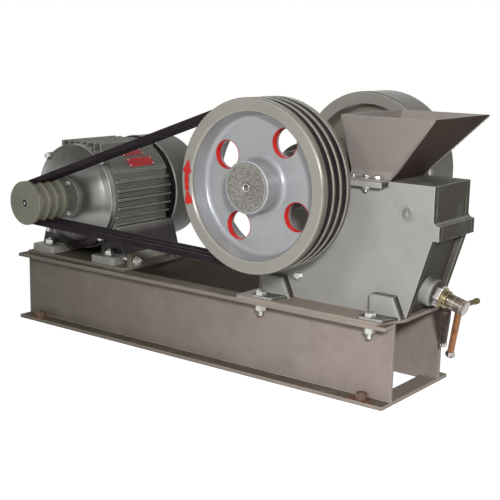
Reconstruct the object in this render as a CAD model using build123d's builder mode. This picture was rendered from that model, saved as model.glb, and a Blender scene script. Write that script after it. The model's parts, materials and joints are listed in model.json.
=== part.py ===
"""Laboratory jaw crusher on a two-beam base, with its motor and V-belt drive.

Millimetres. The origin is at the middle of the base, on the floor. +X runs
from the motor towards the crusher's front, -Y is the side with the belts, and
+Z is up. The flywheel shaft and the motor shaft both lie along Y.
"""
from build123d import *
import os
from math import acos, atan, cos, degrees, radians, sin, sqrt, tan

os.makedirs("parts", exist_ok=True)

# Base
base_length = 790.0
base_width = 206.0
base_height = 125.0
flange_reach = 25.0
flange_thickness = 6.0
web_thickness = 6.0
floor_strip_width = 30.0
floor_strip_thickness = 6.0
plate_thickness = 5.0
anchor_hole_radius = 6.0
anchor_hole_inset = 42.0

# Crusher body: along X its places are set back from its front face
front_overhang = 43.0
mouth_setback = 75.0
slope_setback = 36.0
pivot_setback = 42.0
shaft_arch_radius = 54.0
shaft_arch_gap = 24.0
rear_reach = 26.0
foot_plate_corner = 24.0
foot_plate_rear_reach = 10.0
body_half_width = 56.0
side_plate_thickness = 10.0
body_height = 198.0
roof_thickness = 8.0
cover_thickness = 4.0
lip_reach = 10.0
lip_drop = 56.0
lip_height = 22.0
lip_round = 8.0
slope_round = 6.0
front_wall_recess = 9.0
front_wall_thickness = 14.0
rear_wall_thickness = 12.0
rear_wall_drop = 79.0

# Feet of the body: a rounded rib on a flat pad, two on each side
rear_foot_inset = 13.0
foot_length = 57.0
foot_slope_run = 15.0
foot_front_round = 14.0
foot_rib_height = 33.0
foot_rib_reach = 14.0
foot_pad_length = 42.0
foot_pad_reach = 44.0
foot_pad_thickness = 4.0
foot_round = 7.0
foot_edge_round = 5.0

# Shaft and flywheels
shaft_drop = 9.0
shaft_radius = 22.0
shaft_eccentric_radius = 27.0
flywheel_radius = 127.0
flywheel_width = 72.0
flywheel_inner_radius = 107.0
flywheel_rim_draft = 4.0
flywheel_dish = 30.0
flywheel_web_thickness = 14.0
flywheel_hole_radius = 21.0
flywheel_hole_circle = 75.0
near_hole_angle = 58.0
far_hole_angle = 26.0
flywheel_hole_count = 4
rim_chamfer = 2.0
web_round = 8.0
hub_radius = 38.0
hub_stand_out = 6.0
hub_inner_reach = 10.0
hub_gap = 8.0
hub_chamfer = 2.0
centre_hole_radius = 4.0

# Belts and grooves
belt_count = 3
belt_pitch = 18.0
belt_top_width = 12.6
belt_depth = 8.0
belt_side_angle = 20.0
belt_sink = 1.5
groove_top_width = 14.0
groove_depth = 11.0
groove_side_angle = 18.0
front_land = 12.0

# Bearings
housing_radius = 46.0
housing_length = 40.0
housing_taper = 4.0
housing_cap_radius = 32.0
housing_cap_length = 8.0
shaft_clearance = 0.05

# Motor
motor_plate_inset = 10.0
motor_plate_length = 247.0
motor_plate_half_width = 88.0
motor_setback = 112.0
motor_shaft_height = 112.0
motor_shaft_radius = 14.0
pulley_radius = 38.0
pulley_land = 7.0
pulley_face_thickness = 6.0
frame_front_y = -56.0
frame_length = 148.0
frame_core_radius = 83.0
fin_radius = 97.0
fin_gap = 12.0
fin_pitch = 16.0
fin_gap_rows = 8
fin_top_half_width = 50.0
fin_end_gap = 12.0
shield_radius = 94.0
shield_reach = 18.0
shield_width = 10.0
shield_edge_slope = 5.0
dome_depth = 17.0
dome_bulge = 5.0
ear_radius = 8.0
ear_count = 4
ear_angle = 45.0
bearing_cap_radius = 38.0
bearing_cap_length = 9.0
cowl_radius = 100.0
cowl_length = 80.0
cowl_round = 8.0
motor_foot_spacing = 155.0
motor_foot_width = 56.0
motor_foot_length = 176.0
motor_foot_overhang = 29.0
motor_foot_thickness = 13.0
motor_foot_rise = 50.0
motor_foot_top_width = 42.0
box_reach = 34.0
box_length = 90.0
box_height = 70.0
box_round = 6.0
lug_thickness = 10.0
lug_width = 24.0
lug_height = 22.0
lug_y = 56.0

# Hopper
hopper_mouth_length = 65.0
hopper_front_lean = 86.0
hopper_height = 94.5
hopper_neck_height = 14.0
hopper_bottom_half_width = 54.0
hopper_top_half_width = 88.0
hopper_wall = 4.0
seat_flange_thickness = 8.0
seat_flange_reach = 20.0

# Jaws
jaw_gape = 60.0
jaw_outlet = 12.0
jaw_liner_thickness = 10.0
jaw_floor_gap = 20.0
jaw_body_thickness = 26.0
cheek_thickness = 4.0
jaw_side_clearance = 1.0
swing_head_radius = 46.0
swing_neck_reach = 23.0
toggle_thickness = 10.0
pivot_drop = 44.0
pivot_radius = 9.0

# Adjusting gear
screw_height = 33.0
screw_radius = 9.0
screw_boss_radius = 22.0
screw_boss_reach = 10.0
screw_boss_round = 7.0
lock_nut_radius = 15.0
lock_nut_length = 10.0
collar_length = 10.0
lock_lever_length = 90.0
lock_lever_angle = 31.0
lever_root_radius = 7.0
lever_tip_radius = 4.0
capstan_gap = 2.4
capstan_radius = 11.0
capstan_length = 27.0
bar_inset = 10.0
bar_radius = 4.0
long_bar_length = 85.0
long_bar_angle = 19.0
short_bar_length = 52.0
short_bar_angle = 86.0

# Cuts run this far past what they cut, and close pieces keep this gap
overrun = 5.0
seat_gap = 0.3

# Places along X
body_front_x = base_length / 2 + front_overhang
mouth_front_x = body_front_x - mouth_setback
slope_foot_x = body_front_x - slope_setback
pivot_x = body_front_x - pivot_setback
swing_liner_top_x = mouth_front_x - jaw_gape
arch_front_x = swing_liner_top_x - jaw_liner_thickness - shaft_arch_gap
shaft_x = arch_front_x - shaft_arch_radius
arch_rear_x = shaft_x - shaft_arch_radius
body_rear_x = arch_rear_x - rear_reach
rear_wall_front_x = body_rear_x + rear_wall_thickness
foot_plate_side_front_x = slope_foot_x - foot_plate_corner
foot_plate_rear_x = body_rear_x - foot_plate_rear_reach
slope_wall_foot_x = slope_foot_x - front_wall_recess
slope_wall_inner_x = slope_wall_foot_x - front_wall_thickness
motor_plate_rear_x = motor_plate_inset - base_length / 2
motor_x = motor_plate_rear_x + motor_setback

# Places along Y
half_width = base_width / 2
web_face_y = half_width - flange_reach
inner_half_width = body_half_width - side_plate_thickness
mouth_half_width = inner_half_width - cheek_thickness
liner_half_width = mouth_half_width - jaw_side_clearance
hub_inner_y = body_half_width + housing_length + housing_cap_length + hub_gap
flywheel_inner_y = hub_inner_y + hub_inner_reach
flywheel_outer_y = flywheel_inner_y + flywheel_width
frame_rear_y = frame_front_y + frame_length
shield_front_y = frame_front_y - shield_reach
shield_rear_y = shield_front_y + shield_width
dome_front_y = shield_front_y - dome_depth
cowl_rear_y = frame_rear_y + cowl_length

# Places along Z
floor_z = base_height + plate_thickness
body_top_z = floor_z + body_height
seat_under_z = body_top_z - seat_flange_thickness
lip_top_z = body_top_z - lip_drop
lip_bottom_z = lip_top_z - lip_height
shaft_z = body_top_z - shaft_drop
rear_wall_top_z = shaft_z - rear_wall_drop
pivot_z = body_top_z - pivot_drop
jaw_bottom_z = floor_z + jaw_floor_gap
jaw_top_z = body_top_z - roof_thickness - jaw_side_clearance
screw_z = floor_z + screw_height
motor_z = floor_z + motor_shaft_height
hopper_top_z = body_top_z + hopper_height
neck_top_z = body_top_z + hopper_neck_height

# The screw stands square to the body's slope: its plane lies on the slope
slope_run = slope_setback / (lip_bottom_z - floor_z)
slope_cos = cos(atan(slope_run))
slope_plane = Plane(origin=(slope_foot_x + slope_run * screw_height, 0, screw_z),
                    x_dir=(0, 1, 0), z_dir=(1, 0, -slope_run))


def save(part, name):
    """Label a finished piece and write it under its node's name."""
    part.label = name
    export_step(part, f"parts/{name}.step")


def corner(face, along, up):
    """The corner of a flat face nearest to a point of its sketch."""
    return face.vertices().sort_by_distance((along, up))[0]


# Base beams: a web with its two flanges turned outwards
with BuildPart() as beam_far:
    with BuildSketch(Plane.YZ.offset(-base_length / 2)):
        with Locations((web_face_y, base_height / 2)):
            Rectangle(web_thickness, base_height, align=(Align.MAX, Align.CENTER))
        with Locations((half_width, 0)):
            Rectangle(flange_reach + web_thickness, flange_thickness,
                      align=(Align.MAX, Align.MIN))
        with Locations((half_width, base_height)):
            Rectangle(flange_reach + web_thickness, flange_thickness,
                      align=(Align.MAX, Align.MAX))
    extrude(amount=base_length)
    hole_y = half_width - flange_reach / 2
    with Locations((base_length / 2 - anchor_hole_inset, hole_y, flange_thickness),
                   (anchor_hole_inset - base_length / 2, hole_y, flange_thickness)):
        Hole(anchor_hole_radius, depth=flange_thickness)
save(beam_far.part, "beam_far")
with BuildPart() as beam_near:
    add(beam_far.part)
    mirror(about=Plane.XZ, mode=Mode.REPLACE)
save(beam_near.part, "beam_near")

# Strips across the floor at both ends
strip_length = 2 * (web_face_y - web_thickness)
for end, side in (("front", 1), ("rear", -1)):
    with BuildPart() as floor_strip:
        with Locations((side * (base_length - floor_strip_width) / 2, 0, 0)):
            Box(floor_strip_width, strip_length, floor_strip_thickness,
                align=(Align.CENTER, Align.CENTER, Align.MIN))
    save(floor_strip.part, f"{end}_floor_strip")

# Motor plate across both beams, with a lug at its end for each tension bolt
with BuildPart() as motor_plate:
    with Locations((motor_plate_rear_x, 0, base_height)):
        Box(motor_plate_length, 2 * motor_plate_half_width, plate_thickness,
            align=(Align.MIN, Align.CENTER, Align.MIN))
    with Locations((motor_plate_rear_x + motor_plate_length, -lug_y, floor_z),
                   (motor_plate_rear_x + motor_plate_length, lug_y, floor_z)):
        Box(lug_thickness, lug_width, lug_height,
            align=(Align.MAX, Align.CENTER, Align.MIN))
save(motor_plate.part, "motor_plate")

# Foot plate under the crusher body, with its outlet cut through
with BuildPart() as foot_plate:
    with BuildSketch(Plane.XY.offset(base_height)):
        with BuildLine():
            Polyline(
                (foot_plate_rear_x, half_width),
                (foot_plate_side_front_x, half_width),
                (slope_foot_x, body_half_width),
                (slope_foot_x, -body_half_width),
                (foot_plate_side_front_x, -half_width),
                (foot_plate_rear_x, -half_width),
                (foot_plate_rear_x, half_width),
            )
        make_face()
        with Locations(((slope_wall_inner_x + rear_wall_front_x) / 2, 0)):
            Rectangle(slope_wall_inner_x - rear_wall_front_x, 2 * inner_half_width,
                      mode=Mode.SUBTRACT)
    extrude(amount=plate_thickness)
save(foot_plate.part, "foot_plate")

# Side plates, arched over the shaft, each with its two feet
with BuildPart() as side_far:
    with BuildSketch(Plane.XZ.offset(-body_half_width)):
        with BuildLine():
            Polyline(
                (body_rear_x, floor_z),
                (slope_foot_x, floor_z),
                (body_front_x, lip_bottom_z),
                (body_front_x + lip_reach, lip_bottom_z),
                (body_front_x + lip_reach, lip_top_z),
                (body_front_x, lip_top_z),
                (body_front_x, body_top_z),
                (mouth_front_x, body_top_z),
                (mouth_front_x, seat_under_z),
                (arch_front_x, seat_under_z),
                (arch_rear_x, shaft_z),
                (body_rear_x, rear_wall_top_z),
                (body_rear_x, floor_z),
            )
        side_face = make_face()
        fillet(corner(side_face, body_front_x, lip_top_z), lip_round)
        fillet(corner(side_face, body_front_x, lip_bottom_z), slope_round)
        with Locations((shaft_x, shaft_z)):
            Circle(shaft_arch_radius)
            Circle(shaft_radius + seat_gap, mode=Mode.SUBTRACT)
        with Locations((pivot_x, pivot_z)):
            Circle(pivot_radius, mode=Mode.SUBTRACT)
    extrude(amount=side_plate_thickness)
    foot_rears = (body_rear_x + rear_foot_inset, slope_foot_x - foot_length)
    for foot_rear_x in foot_rears:
        foot_front_x = foot_rear_x + foot_length
        with BuildSketch(Plane.XZ.offset(-body_half_width)):
            with BuildLine():
                Polyline(
                    (foot_rear_x, floor_z),
                    (foot_front_x, floor_z),
                    (foot_front_x - foot_slope_run, floor_z + foot_rib_height),
                    (foot_rear_x, floor_z + foot_rib_height),
                    (foot_rear_x, floor_z),
                )
            rib_face = make_face()
            fillet(corner(rib_face, foot_rear_x, floor_z + foot_rib_height), foot_round)
            fillet(corner(rib_face, foot_front_x - foot_slope_run,
                          floor_z + foot_rib_height), foot_front_round)
        extrude(amount=-foot_rib_reach)
    rib_edges = side_far.faces().filter_by(Axis.Y).group_by(Axis.Y)[-1].edges()
    fillet([edge for edge in rib_edges if edge.center().Z > floor_z + seat_gap],
           foot_edge_round)
    for foot_rear_x in foot_rears:
        with BuildSketch(Plane.XY.offset(floor_z)):
            with BuildLine():
                Polyline(
                    (foot_rear_x, body_half_width),
                    (foot_rear_x + foot_length, body_half_width),
                    (foot_rear_x + foot_pad_length, body_half_width + foot_pad_reach),
                    (foot_rear_x, body_half_width + foot_pad_reach),
                    (foot_rear_x, body_half_width),
                )
            pad_face = make_face()
            fillet(pad_face.vertices().group_by(Axis.Y)[-1], foot_round)
        extrude(amount=foot_pad_thickness)
save(side_far.part, "side_plate_far")
with BuildPart() as side_near:
    add(side_far.part)
    mirror(about=Plane.XZ, mode=Mode.REPLACE)
save(side_near.part, "side_plate_near")

# Front wall: roof, upper block, lip, recessed slope and screw boss
with BuildPart() as front_wall:
    with BuildSketch(Plane.XZ.offset(-inner_half_width)):
        with BuildLine():
            Polyline(
                (slope_wall_foot_x, floor_z),
                (body_front_x - front_wall_recess, lip_bottom_z),
                (body_front_x + lip_reach, lip_bottom_z),
                (body_front_x + lip_reach, lip_top_z),
                (body_front_x, lip_top_z),
                (body_front_x, body_top_z),
                (mouth_front_x, body_top_z),
                (mouth_front_x, body_top_z - roof_thickness),
                (body_front_x - front_wall_thickness, body_top_z - roof_thickness),
                (body_front_x - front_wall_thickness - front_wall_recess, lip_bottom_z),
                (slope_wall_inner_x, floor_z),
                (slope_wall_foot_x, floor_z),
            )
        wall_face = make_face()
        fillet(corner(wall_face, body_front_x, lip_top_z), lip_round)
    extrude(amount=2 * inner_half_width)
    with BuildSketch(slope_plane.offset(-front_wall_thickness)):
        Circle(screw_boss_radius)
    extrude(amount=front_wall_thickness + screw_boss_reach)
    boss_tip = slope_plane.offset(screw_boss_reach)
    fillet(front_wall.edges().filter_by(GeomType.CIRCLE).sort_by_distance(boss_tip.origin)[0],
           screw_boss_round)
    with BuildSketch(boss_tip.offset(overrun)):
        Circle(screw_radius + shaft_clearance)
    extrude(amount=-screw_boss_reach - front_wall_recess - front_wall_thickness - 2 * overrun,
            mode=Mode.SUBTRACT)
save(front_wall.part, "front_wall")

# Rear wall
with BuildPart() as rear_wall:
    with Locations((body_rear_x, 0, floor_z)):
        Box(rear_wall_thickness, 2 * inner_half_width, rear_wall_top_z - floor_z,
            align=(Align.MIN, Align.CENTER, Align.MIN))
save(rear_wall.part, "rear_wall")

# Top cover: one sheet up from the rear wall and over the swing jaw's head
with BuildPart() as top_cover:
    with BuildSketch(Plane.XZ.offset(-inner_half_width)):
        with BuildLine():
            Polyline(
                (body_rear_x, rear_wall_top_z),
                (arch_rear_x, shaft_z),
                (arch_front_x, shaft_z),
                (arch_front_x, rear_wall_top_z),
                (body_rear_x, rear_wall_top_z),
            )
        make_face()
        with Locations((shaft_x, shaft_z)):
            Circle(shaft_arch_radius)
        offset(amount=-cover_thickness, mode=Mode.SUBTRACT)
        with Locations((shaft_x, shaft_z)):
            Rectangle(shaft_arch_radius, shaft_z - rear_wall_top_z,
                      align=(Align.MIN, Align.MAX), mode=Mode.SUBTRACT)
        with Locations((body_rear_x + cover_thickness, rear_wall_top_z)):
            Rectangle(arch_front_x - body_rear_x, cover_thickness,
                      align=(Align.MIN, Align.MIN), mode=Mode.SUBTRACT)
    extrude(amount=2 * inner_half_width)
save(top_cover.part, "top_cover")

# Hopper seat: a flange on top of the body around the feed mouth
with BuildPart() as hopper_seat:
    with BuildSketch(Plane.XY.offset(seat_under_z)):
        with Locations(((mouth_front_x + arch_front_x) / 2, 0)):
            Rectangle(mouth_front_x - arch_front_x,
                      2 * (body_half_width + seat_flange_reach))
        with Locations((mouth_front_x - hopper_mouth_length / 2, 0)):
            Rectangle(hopper_mouth_length, 2 * mouth_half_width, mode=Mode.SUBTRACT)
    extrude(amount=seat_flange_thickness)
save(hopper_seat.part, "hopper_seat")

# Bearing housings with their caps
for name, side in (("near", -1), ("far", 1)):
    with BuildPart() as housing:
        face = Plane.XZ.offset(-side * body_half_width)
        with BuildSketch(face):
            with Locations((shaft_x, shaft_z)):
                Circle(housing_radius)
        extrude(amount=-side * housing_length, taper=housing_taper)
        with BuildSketch(Plane.XZ.offset(-side * (body_half_width + housing_length))):
            with Locations((shaft_x, shaft_z)):
                Circle(housing_cap_radius)
        extrude(amount=-side * housing_cap_length)
        with BuildSketch(face):
            with Locations((shaft_x, shaft_z)):
                Circle(shaft_radius + shaft_clearance)
        extrude(amount=-side * (housing_length + housing_cap_length), mode=Mode.SUBTRACT)
    save(housing.part, f"bearing_housing_{name}")


# Flywheels
def groove_outline(radius, centre):
    """Points of one belt groove, cut from outside the rim down to its floor."""
    half_top = groove_top_width / 2
    half_floor = half_top - groove_depth * tan(radians(groove_side_angle))
    return (
        (radius + overrun, centre + half_top),
        (radius, centre + half_top),
        (radius - groove_depth, centre + half_floor),
        (radius - groove_depth, centre - half_floor),
        (radius, centre - half_top),
        (radius + overrun, centre - half_top),
        (radius + overrun, centre + half_top),
    )


def flywheel(side, hole_angle, grooved):
    """One flywheel about the shaft, its outer face towards side."""
    outer = flywheel_outer_y
    inner = flywheel_inner_y
    hub_face = outer + hub_stand_out
    web_outer = outer - flywheel_dish
    web_inner = web_outer - flywheel_web_thickness
    web_radius = flywheel_inner_radius - flywheel_rim_draft
    with BuildPart() as wheel:
        with BuildSketch(Plane.XY):
            with BuildLine():
                Polyline(
                    (centre_hole_radius, hub_face),
                    (hub_radius - hub_chamfer, hub_face),
                    (hub_radius, hub_face - hub_chamfer),
                    (hub_radius, web_outer),
                    (web_radius, web_outer),
                    (flywheel_inner_radius, outer - rim_chamfer),
                    (flywheel_inner_radius + rim_chamfer, outer),
                    (flywheel_radius - rim_chamfer, outer),
                    (flywheel_radius, outer - rim_chamfer),
                    (flywheel_radius, inner + rim_chamfer),
                    (flywheel_radius - rim_chamfer, inner),
                    (flywheel_inner_radius, inner),
                    (web_radius, web_inner),
                    (hub_radius, web_inner),
                    (hub_radius, hub_inner_y),
                    (shaft_radius, hub_inner_y),
                    (shaft_radius, outer),
                    (centre_hole_radius, outer),
                    (centre_hole_radius, hub_face),
                )
            wheel_face = make_face()
            fillet([corner(wheel_face, radius, web) for radius in (hub_radius, web_radius)
                    for web in (web_outer, web_inner)], web_round)
            if grooved:
                for index in range(belt_count):
                    centre = outer - front_land - groove_top_width / 2 - index * belt_pitch
                    with BuildLine():
                        Polyline(*groove_outline(flywheel_radius, centre))
                    make_face(mode=Mode.SUBTRACT)
        revolve(axis=Axis.Y)
        with BuildSketch(Plane.XZ.offset(-outer)):
            with PolarLocations(flywheel_hole_circle, flywheel_hole_count,
                                start_angle=hole_angle):
                Circle(flywheel_hole_radius)
        extrude(amount=flywheel_width, mode=Mode.SUBTRACT)
    turned = wheel.part if side > 0 else mirror(wheel.part, about=Plane.XZ)
    return turned.moved(Location((shaft_x, 0, shaft_z)))


save(flywheel(-1, near_hole_angle, True), "flywheel_near")
save(flywheel(1, far_hole_angle, False), "flywheel_far")

# Shaft into both flywheels, thicker where the swing jaw hangs
with BuildPart() as main_shaft:
    with BuildSketch(Plane.XZ.offset(-flywheel_outer_y)):
        with Locations((shaft_x, shaft_z)):
            Circle(shaft_radius)
    extrude(amount=2 * flywheel_outer_y)
    with BuildSketch(Plane.XZ.offset(jaw_side_clearance - inner_half_width)):
        with Locations((shaft_x, shaft_z)):
            Circle(shaft_eccentric_radius)
    extrude(amount=2 * (inner_half_width - jaw_side_clearance))
save(main_shaft.part, "eccentric_shaft")

# Motor pulley with three grooves, its bore closed by the outer face
first_groove_y = front_land + groove_top_width / 2 - flywheel_outer_y
pulley_front_y = first_groove_y - groove_top_width / 2 - pulley_land
pulley_width = (belt_count - 1) * belt_pitch + groove_top_width + 2 * pulley_land
with BuildPart() as pulley:
    with BuildSketch(Plane.XY):
        with Locations((0, pulley_front_y)):
            Rectangle(pulley_radius, pulley_width, align=(Align.MIN, Align.MIN))
            Rectangle(centre_hole_radius, pulley_width, align=(Align.MIN, Align.MIN),
                      mode=Mode.SUBTRACT)
        with Locations((0, pulley_front_y + pulley_face_thickness)):
            Rectangle(motor_shaft_radius, pulley_width, align=(Align.MIN, Align.MIN),
                      mode=Mode.SUBTRACT)
        for index in range(belt_count):
            with BuildLine():
                Polyline(*groove_outline(pulley_radius,
                                         first_groove_y + index * belt_pitch))
            make_face(mode=Mode.SUBTRACT)
    revolve(axis=Axis.Y)
save(pulley.part.moved(Location((motor_x, 0, motor_z))), "motor_pulley")

# Belts: a wedge section round both wheels
belt_bottom_width = belt_top_width - 2 * belt_depth * tan(radians(belt_side_angle))
small_radius = pulley_radius - belt_sink
large_radius = flywheel_radius - belt_sink
span_x = shaft_x - motor_x
span_z = shaft_z - motor_z
span_angle = degrees(atan(span_z / span_x))
contact_angle = degrees(acos((large_radius - small_radius) / sqrt(span_x ** 2 + span_z ** 2)))


def on_circle(centre, radius, angle):
    """Point on a circle, at an angle from +X towards +Z."""
    turn = radians(angle)
    return (centre[0] + radius * cos(turn), centre[1] + radius * sin(turn))


def belt(number, centre_y):
    """One belt as a closed loop, its outer face just inside both rims."""
    small, large = (motor_x, motor_z), (shaft_x, shaft_z)
    upper = span_angle + 180 - contact_angle
    lower = span_angle + 180 + contact_angle
    with BuildPart() as loop:
        with BuildLine(Plane.XZ.offset(-centre_y)) as path:
            Line(on_circle(small, small_radius, upper),
                 on_circle(large, large_radius, upper))
            ThreePointArc(on_circle(large, large_radius, upper),
                          on_circle(large, large_radius, span_angle),
                          on_circle(large, large_radius, lower))
            Line(on_circle(large, large_radius, lower),
                 on_circle(small, small_radius, lower))
            ThreePointArc(on_circle(small, small_radius, lower),
                          on_circle(small, small_radius, span_angle + 180),
                          on_circle(small, small_radius, upper))
        route = path.wires()[0]
        section = Plane(origin=route @ 0, x_dir=(0, 1, 0), z_dir=route % 0)
        with BuildSketch(section):
            with BuildLine():
                Polyline(
                    (-belt_top_width / 2, 0),
                    (belt_top_width / 2, 0),
                    (belt_bottom_width / 2, -belt_depth),
                    (-belt_bottom_width / 2, -belt_depth),
                    (-belt_top_width / 2, 0),
                )
            make_face()
        sweep(path=route)
    save(loop.part, f"drive_belt_{number}")


for index in range(belt_count):
    belt(index + 1, first_groove_y + index * belt_pitch)

# Motor frame: a round barrel with thin fins on its sides and its flat top
fin_depth = fin_radius - frame_core_radius
with BuildPart() as motor_frame:
    with BuildSketch(Plane.XZ.offset(-frame_rear_y)):
        with Locations((motor_x, motor_z)):
            Circle(frame_core_radius)
    extrude(amount=frame_length)
    with BuildSketch(Plane.XZ.offset(fin_end_gap - frame_rear_y)):
        with Locations((motor_x, motor_z)):
            Circle(fin_radius)
            Rectangle(2 * fin_top_half_width, fin_radius, align=(Align.CENTER, Align.MIN))
        for row in range(fin_gap_rows):
            offset = (row - (fin_gap_rows - 1) / 2) * fin_pitch
            with Locations((motor_x - fin_radius, motor_z + offset),
                           (motor_x + fin_radius, motor_z + offset)):
                Rectangle(2 * fin_depth, fin_gap, mode=Mode.SUBTRACT)
            with Locations((motor_x + offset, motor_z + fin_radius)):
                Rectangle(fin_gap, 2 * fin_depth, mode=Mode.SUBTRACT)
    extrude(amount=frame_length - fin_end_gap)
    with BuildSketch(Plane.XZ.offset(-frame_front_y)):
        with Locations((motor_x, motor_z)):
            Circle(shield_radius)
    extrude(amount=frame_front_y - shield_rear_y)
save(motor_frame.part, "motor_frame")

# Motor feet: a flat sole and a rib up to the barrel
motor_foot_front_y = frame_front_y - motor_foot_overhang
motor_foot_rear_y = motor_foot_front_y + motor_foot_length
for name, side in (("rear", -1), ("front", 1)):
    foot_x = motor_x + side * motor_foot_spacing / 2
    foot_inner_x = foot_x - side * motor_foot_width / 2
    foot_outer_x = foot_x + side * motor_foot_width / 2
    foot_top_x = foot_inner_x + side * motor_foot_top_width
    sole_top_z = floor_z + motor_foot_thickness
    with BuildPart() as motor_foot:
        with Locations((foot_x, motor_foot_front_y, floor_z)):
            Box(motor_foot_width, motor_foot_length, motor_foot_thickness,
                align=(Align.CENTER, Align.MIN, Align.MIN))
        fillet(motor_foot.edges().filter_by(Axis.Z), foot_round)
        with BuildSketch(Plane.XZ.offset(-motor_foot_rear_y)):
            with BuildLine():
                Polyline(
                    (foot_inner_x, floor_z),
                    (foot_outer_x, sole_top_z),
                    (foot_top_x, sole_top_z + motor_foot_rise),
                    (foot_inner_x, sole_top_z + motor_foot_rise),
                    (foot_inner_x, floor_z),
                )
            make_face()
            with Locations((motor_x, motor_z)):
                Circle(fin_radius, mode=Mode.SUBTRACT)
        extrude(amount=motor_foot_rear_y - frame_front_y)
    save(motor_foot.part, f"motor_foot_{name}")

# Drive-end shield, a shallow dome with a rim and bolt ears, and its bearing cap
bore_radius = motor_shaft_radius + shaft_clearance
with BuildPart() as shield:
    with BuildSketch(Plane.XY):
        dome_foot = (shield_radius - 2 * shield_edge_slope, shield_front_y - shield_edge_slope)
        dome_top = (bearing_cap_radius, dome_front_y)
        with BuildLine():
            Polyline(
                dome_top,
                (bore_radius, dome_front_y),
                (bore_radius, shield_rear_y),
                (shield_radius, shield_rear_y),
                (shield_radius, shield_front_y),
                dome_foot,
            )
            ThreePointArc(dome_foot,
                          ((dome_foot[0] + dome_top[0]) / 2,
                           (dome_foot[1] + dome_top[1]) / 2 - dome_bulge),
                          dome_top)
        make_face()
    revolve(axis=Axis.Y)
    with BuildSketch(Plane.XZ.offset(-shield_rear_y)):
        with PolarLocations(shield_radius, ear_count, start_angle=ear_angle):
            Circle(ear_radius)
    extrude(amount=shield_width)
save(shield.part.moved(Location((motor_x, 0, motor_z))), "drive_end_shield")
with BuildPart() as bearing_cap:
    with BuildSketch(Plane.XZ.offset(-dome_front_y)):
        with Locations((motor_x, motor_z)):
            Circle(bearing_cap_radius)
            Circle(bore_radius, mode=Mode.SUBTRACT)
    extrude(amount=bearing_cap_length)
save(bearing_cap.part, "bearing_cap")

# Motor shaft, from the pulley's face into the shield
shaft_tip_y = pulley_front_y + pulley_face_thickness
with BuildPart() as motor_shaft:
    with BuildSketch(Plane.XZ.offset(-shaft_tip_y)):
        with Locations((motor_x, motor_z)):
            Circle(motor_shaft_radius)
    extrude(amount=shaft_tip_y - shield_rear_y)
save(motor_shaft.part, "motor_shaft")

# Fan cowl, rounded at its closed end
with BuildPart() as cowl:
    with BuildSketch(Plane.XZ.offset(-cowl_rear_y)):
        with Locations((motor_x, motor_z)):
            Circle(cowl_radius)
    extrude(amount=cowl_length)
    fillet(cowl.edges().sort_by(Axis.Y)[-1], cowl_round)
save(cowl.part, "fan_cowl")

# Terminal box on the motor's rear side
with BuildPart() as terminal_box:
    with BuildSketch(Plane.XY.offset(motor_z - box_height / 2)):
        with Locations((motor_x - fin_radius, frame_front_y + frame_length / 2)):
            Rectangle(box_reach, box_length, align=(Align.MAX, Align.CENTER))
    extrude(amount=box_height)
    fillet(terminal_box.faces().sort_by(Axis.X)[0].edges(), box_round)
save(terminal_box.part, "terminal_box")


# Hopper plates: a short neck, then sides that lean out
def hopper_outline(inset):
    """Points across the hopper, its side walls moved in by inset."""
    bottom = hopper_bottom_half_width - inset
    top = hopper_top_half_width - inset
    return (
        (bottom, body_top_z),
        (bottom, neck_top_z),
        (top, hopper_top_z),
        (-top, hopper_top_z),
        (-bottom, neck_top_z),
        (-bottom, body_top_z),
        (bottom, body_top_z),
    )


hopper_rear_x = mouth_front_x - hopper_mouth_length
hopper_front_top_x = mouth_front_x + hopper_front_lean
for name, side in (("near", -1), ("far", 1)):
    with BuildPart() as hopper_side:
        with BuildSketch(Plane.YZ.offset(hopper_rear_x)):
            with BuildLine():
                Polyline(*hopper_outline(0))
            make_face()
            with BuildLine():
                Polyline(*hopper_outline(hopper_wall))
            make_face(mode=Mode.SUBTRACT)
            with Locations((0, body_top_z)):
                Rectangle(hopper_top_half_width, hopper_height,
                          align=(Align.MAX if side > 0 else Align.MIN, Align.MIN),
                          mode=Mode.SUBTRACT)
        extrude(amount=hopper_front_top_x - hopper_rear_x)
        with BuildSketch(Plane.XZ.offset(-hopper_top_half_width)):
            with BuildLine():
                Polyline(
                    (mouth_front_x, body_top_z),
                    (hopper_front_top_x, hopper_top_z),
                    (hopper_front_top_x, body_top_z),
                    (mouth_front_x, body_top_z),
                )
            make_face()
        extrude(amount=2 * hopper_top_half_width, mode=Mode.SUBTRACT)
    save(hopper_side.part, f"hopper_{name}")

with BuildPart() as hopper_rear:
    with BuildSketch(Plane.YZ.offset(hopper_rear_x)):
        with BuildLine():
            Polyline(*hopper_outline(hopper_wall))
        make_face()
    extrude(amount=hopper_wall)
save(hopper_rear.part, "hopper_rear")

with BuildPart() as hopper_front:
    with BuildSketch(Plane.XZ.offset(-hopper_top_half_width)):
        with BuildLine():
            Polyline(
                (mouth_front_x, body_top_z),
                (hopper_front_top_x, hopper_top_z),
                (hopper_front_top_x - hopper_wall, hopper_top_z),
                (mouth_front_x - hopper_wall, body_top_z),
                (mouth_front_x, body_top_z),
            )
        make_face()
    extrude(amount=2 * hopper_top_half_width)
    with BuildSketch(Plane.YZ.offset(mouth_front_x - hopper_wall - overrun)):
        with BuildLine():
            Polyline(*hopper_outline(hopper_wall))
        make_face()
    extrude(amount=hopper_front_lean + hopper_wall + 2 * overrun, mode=Mode.INTERSECT)
save(hopper_front.part, "hopper_front")

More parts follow.
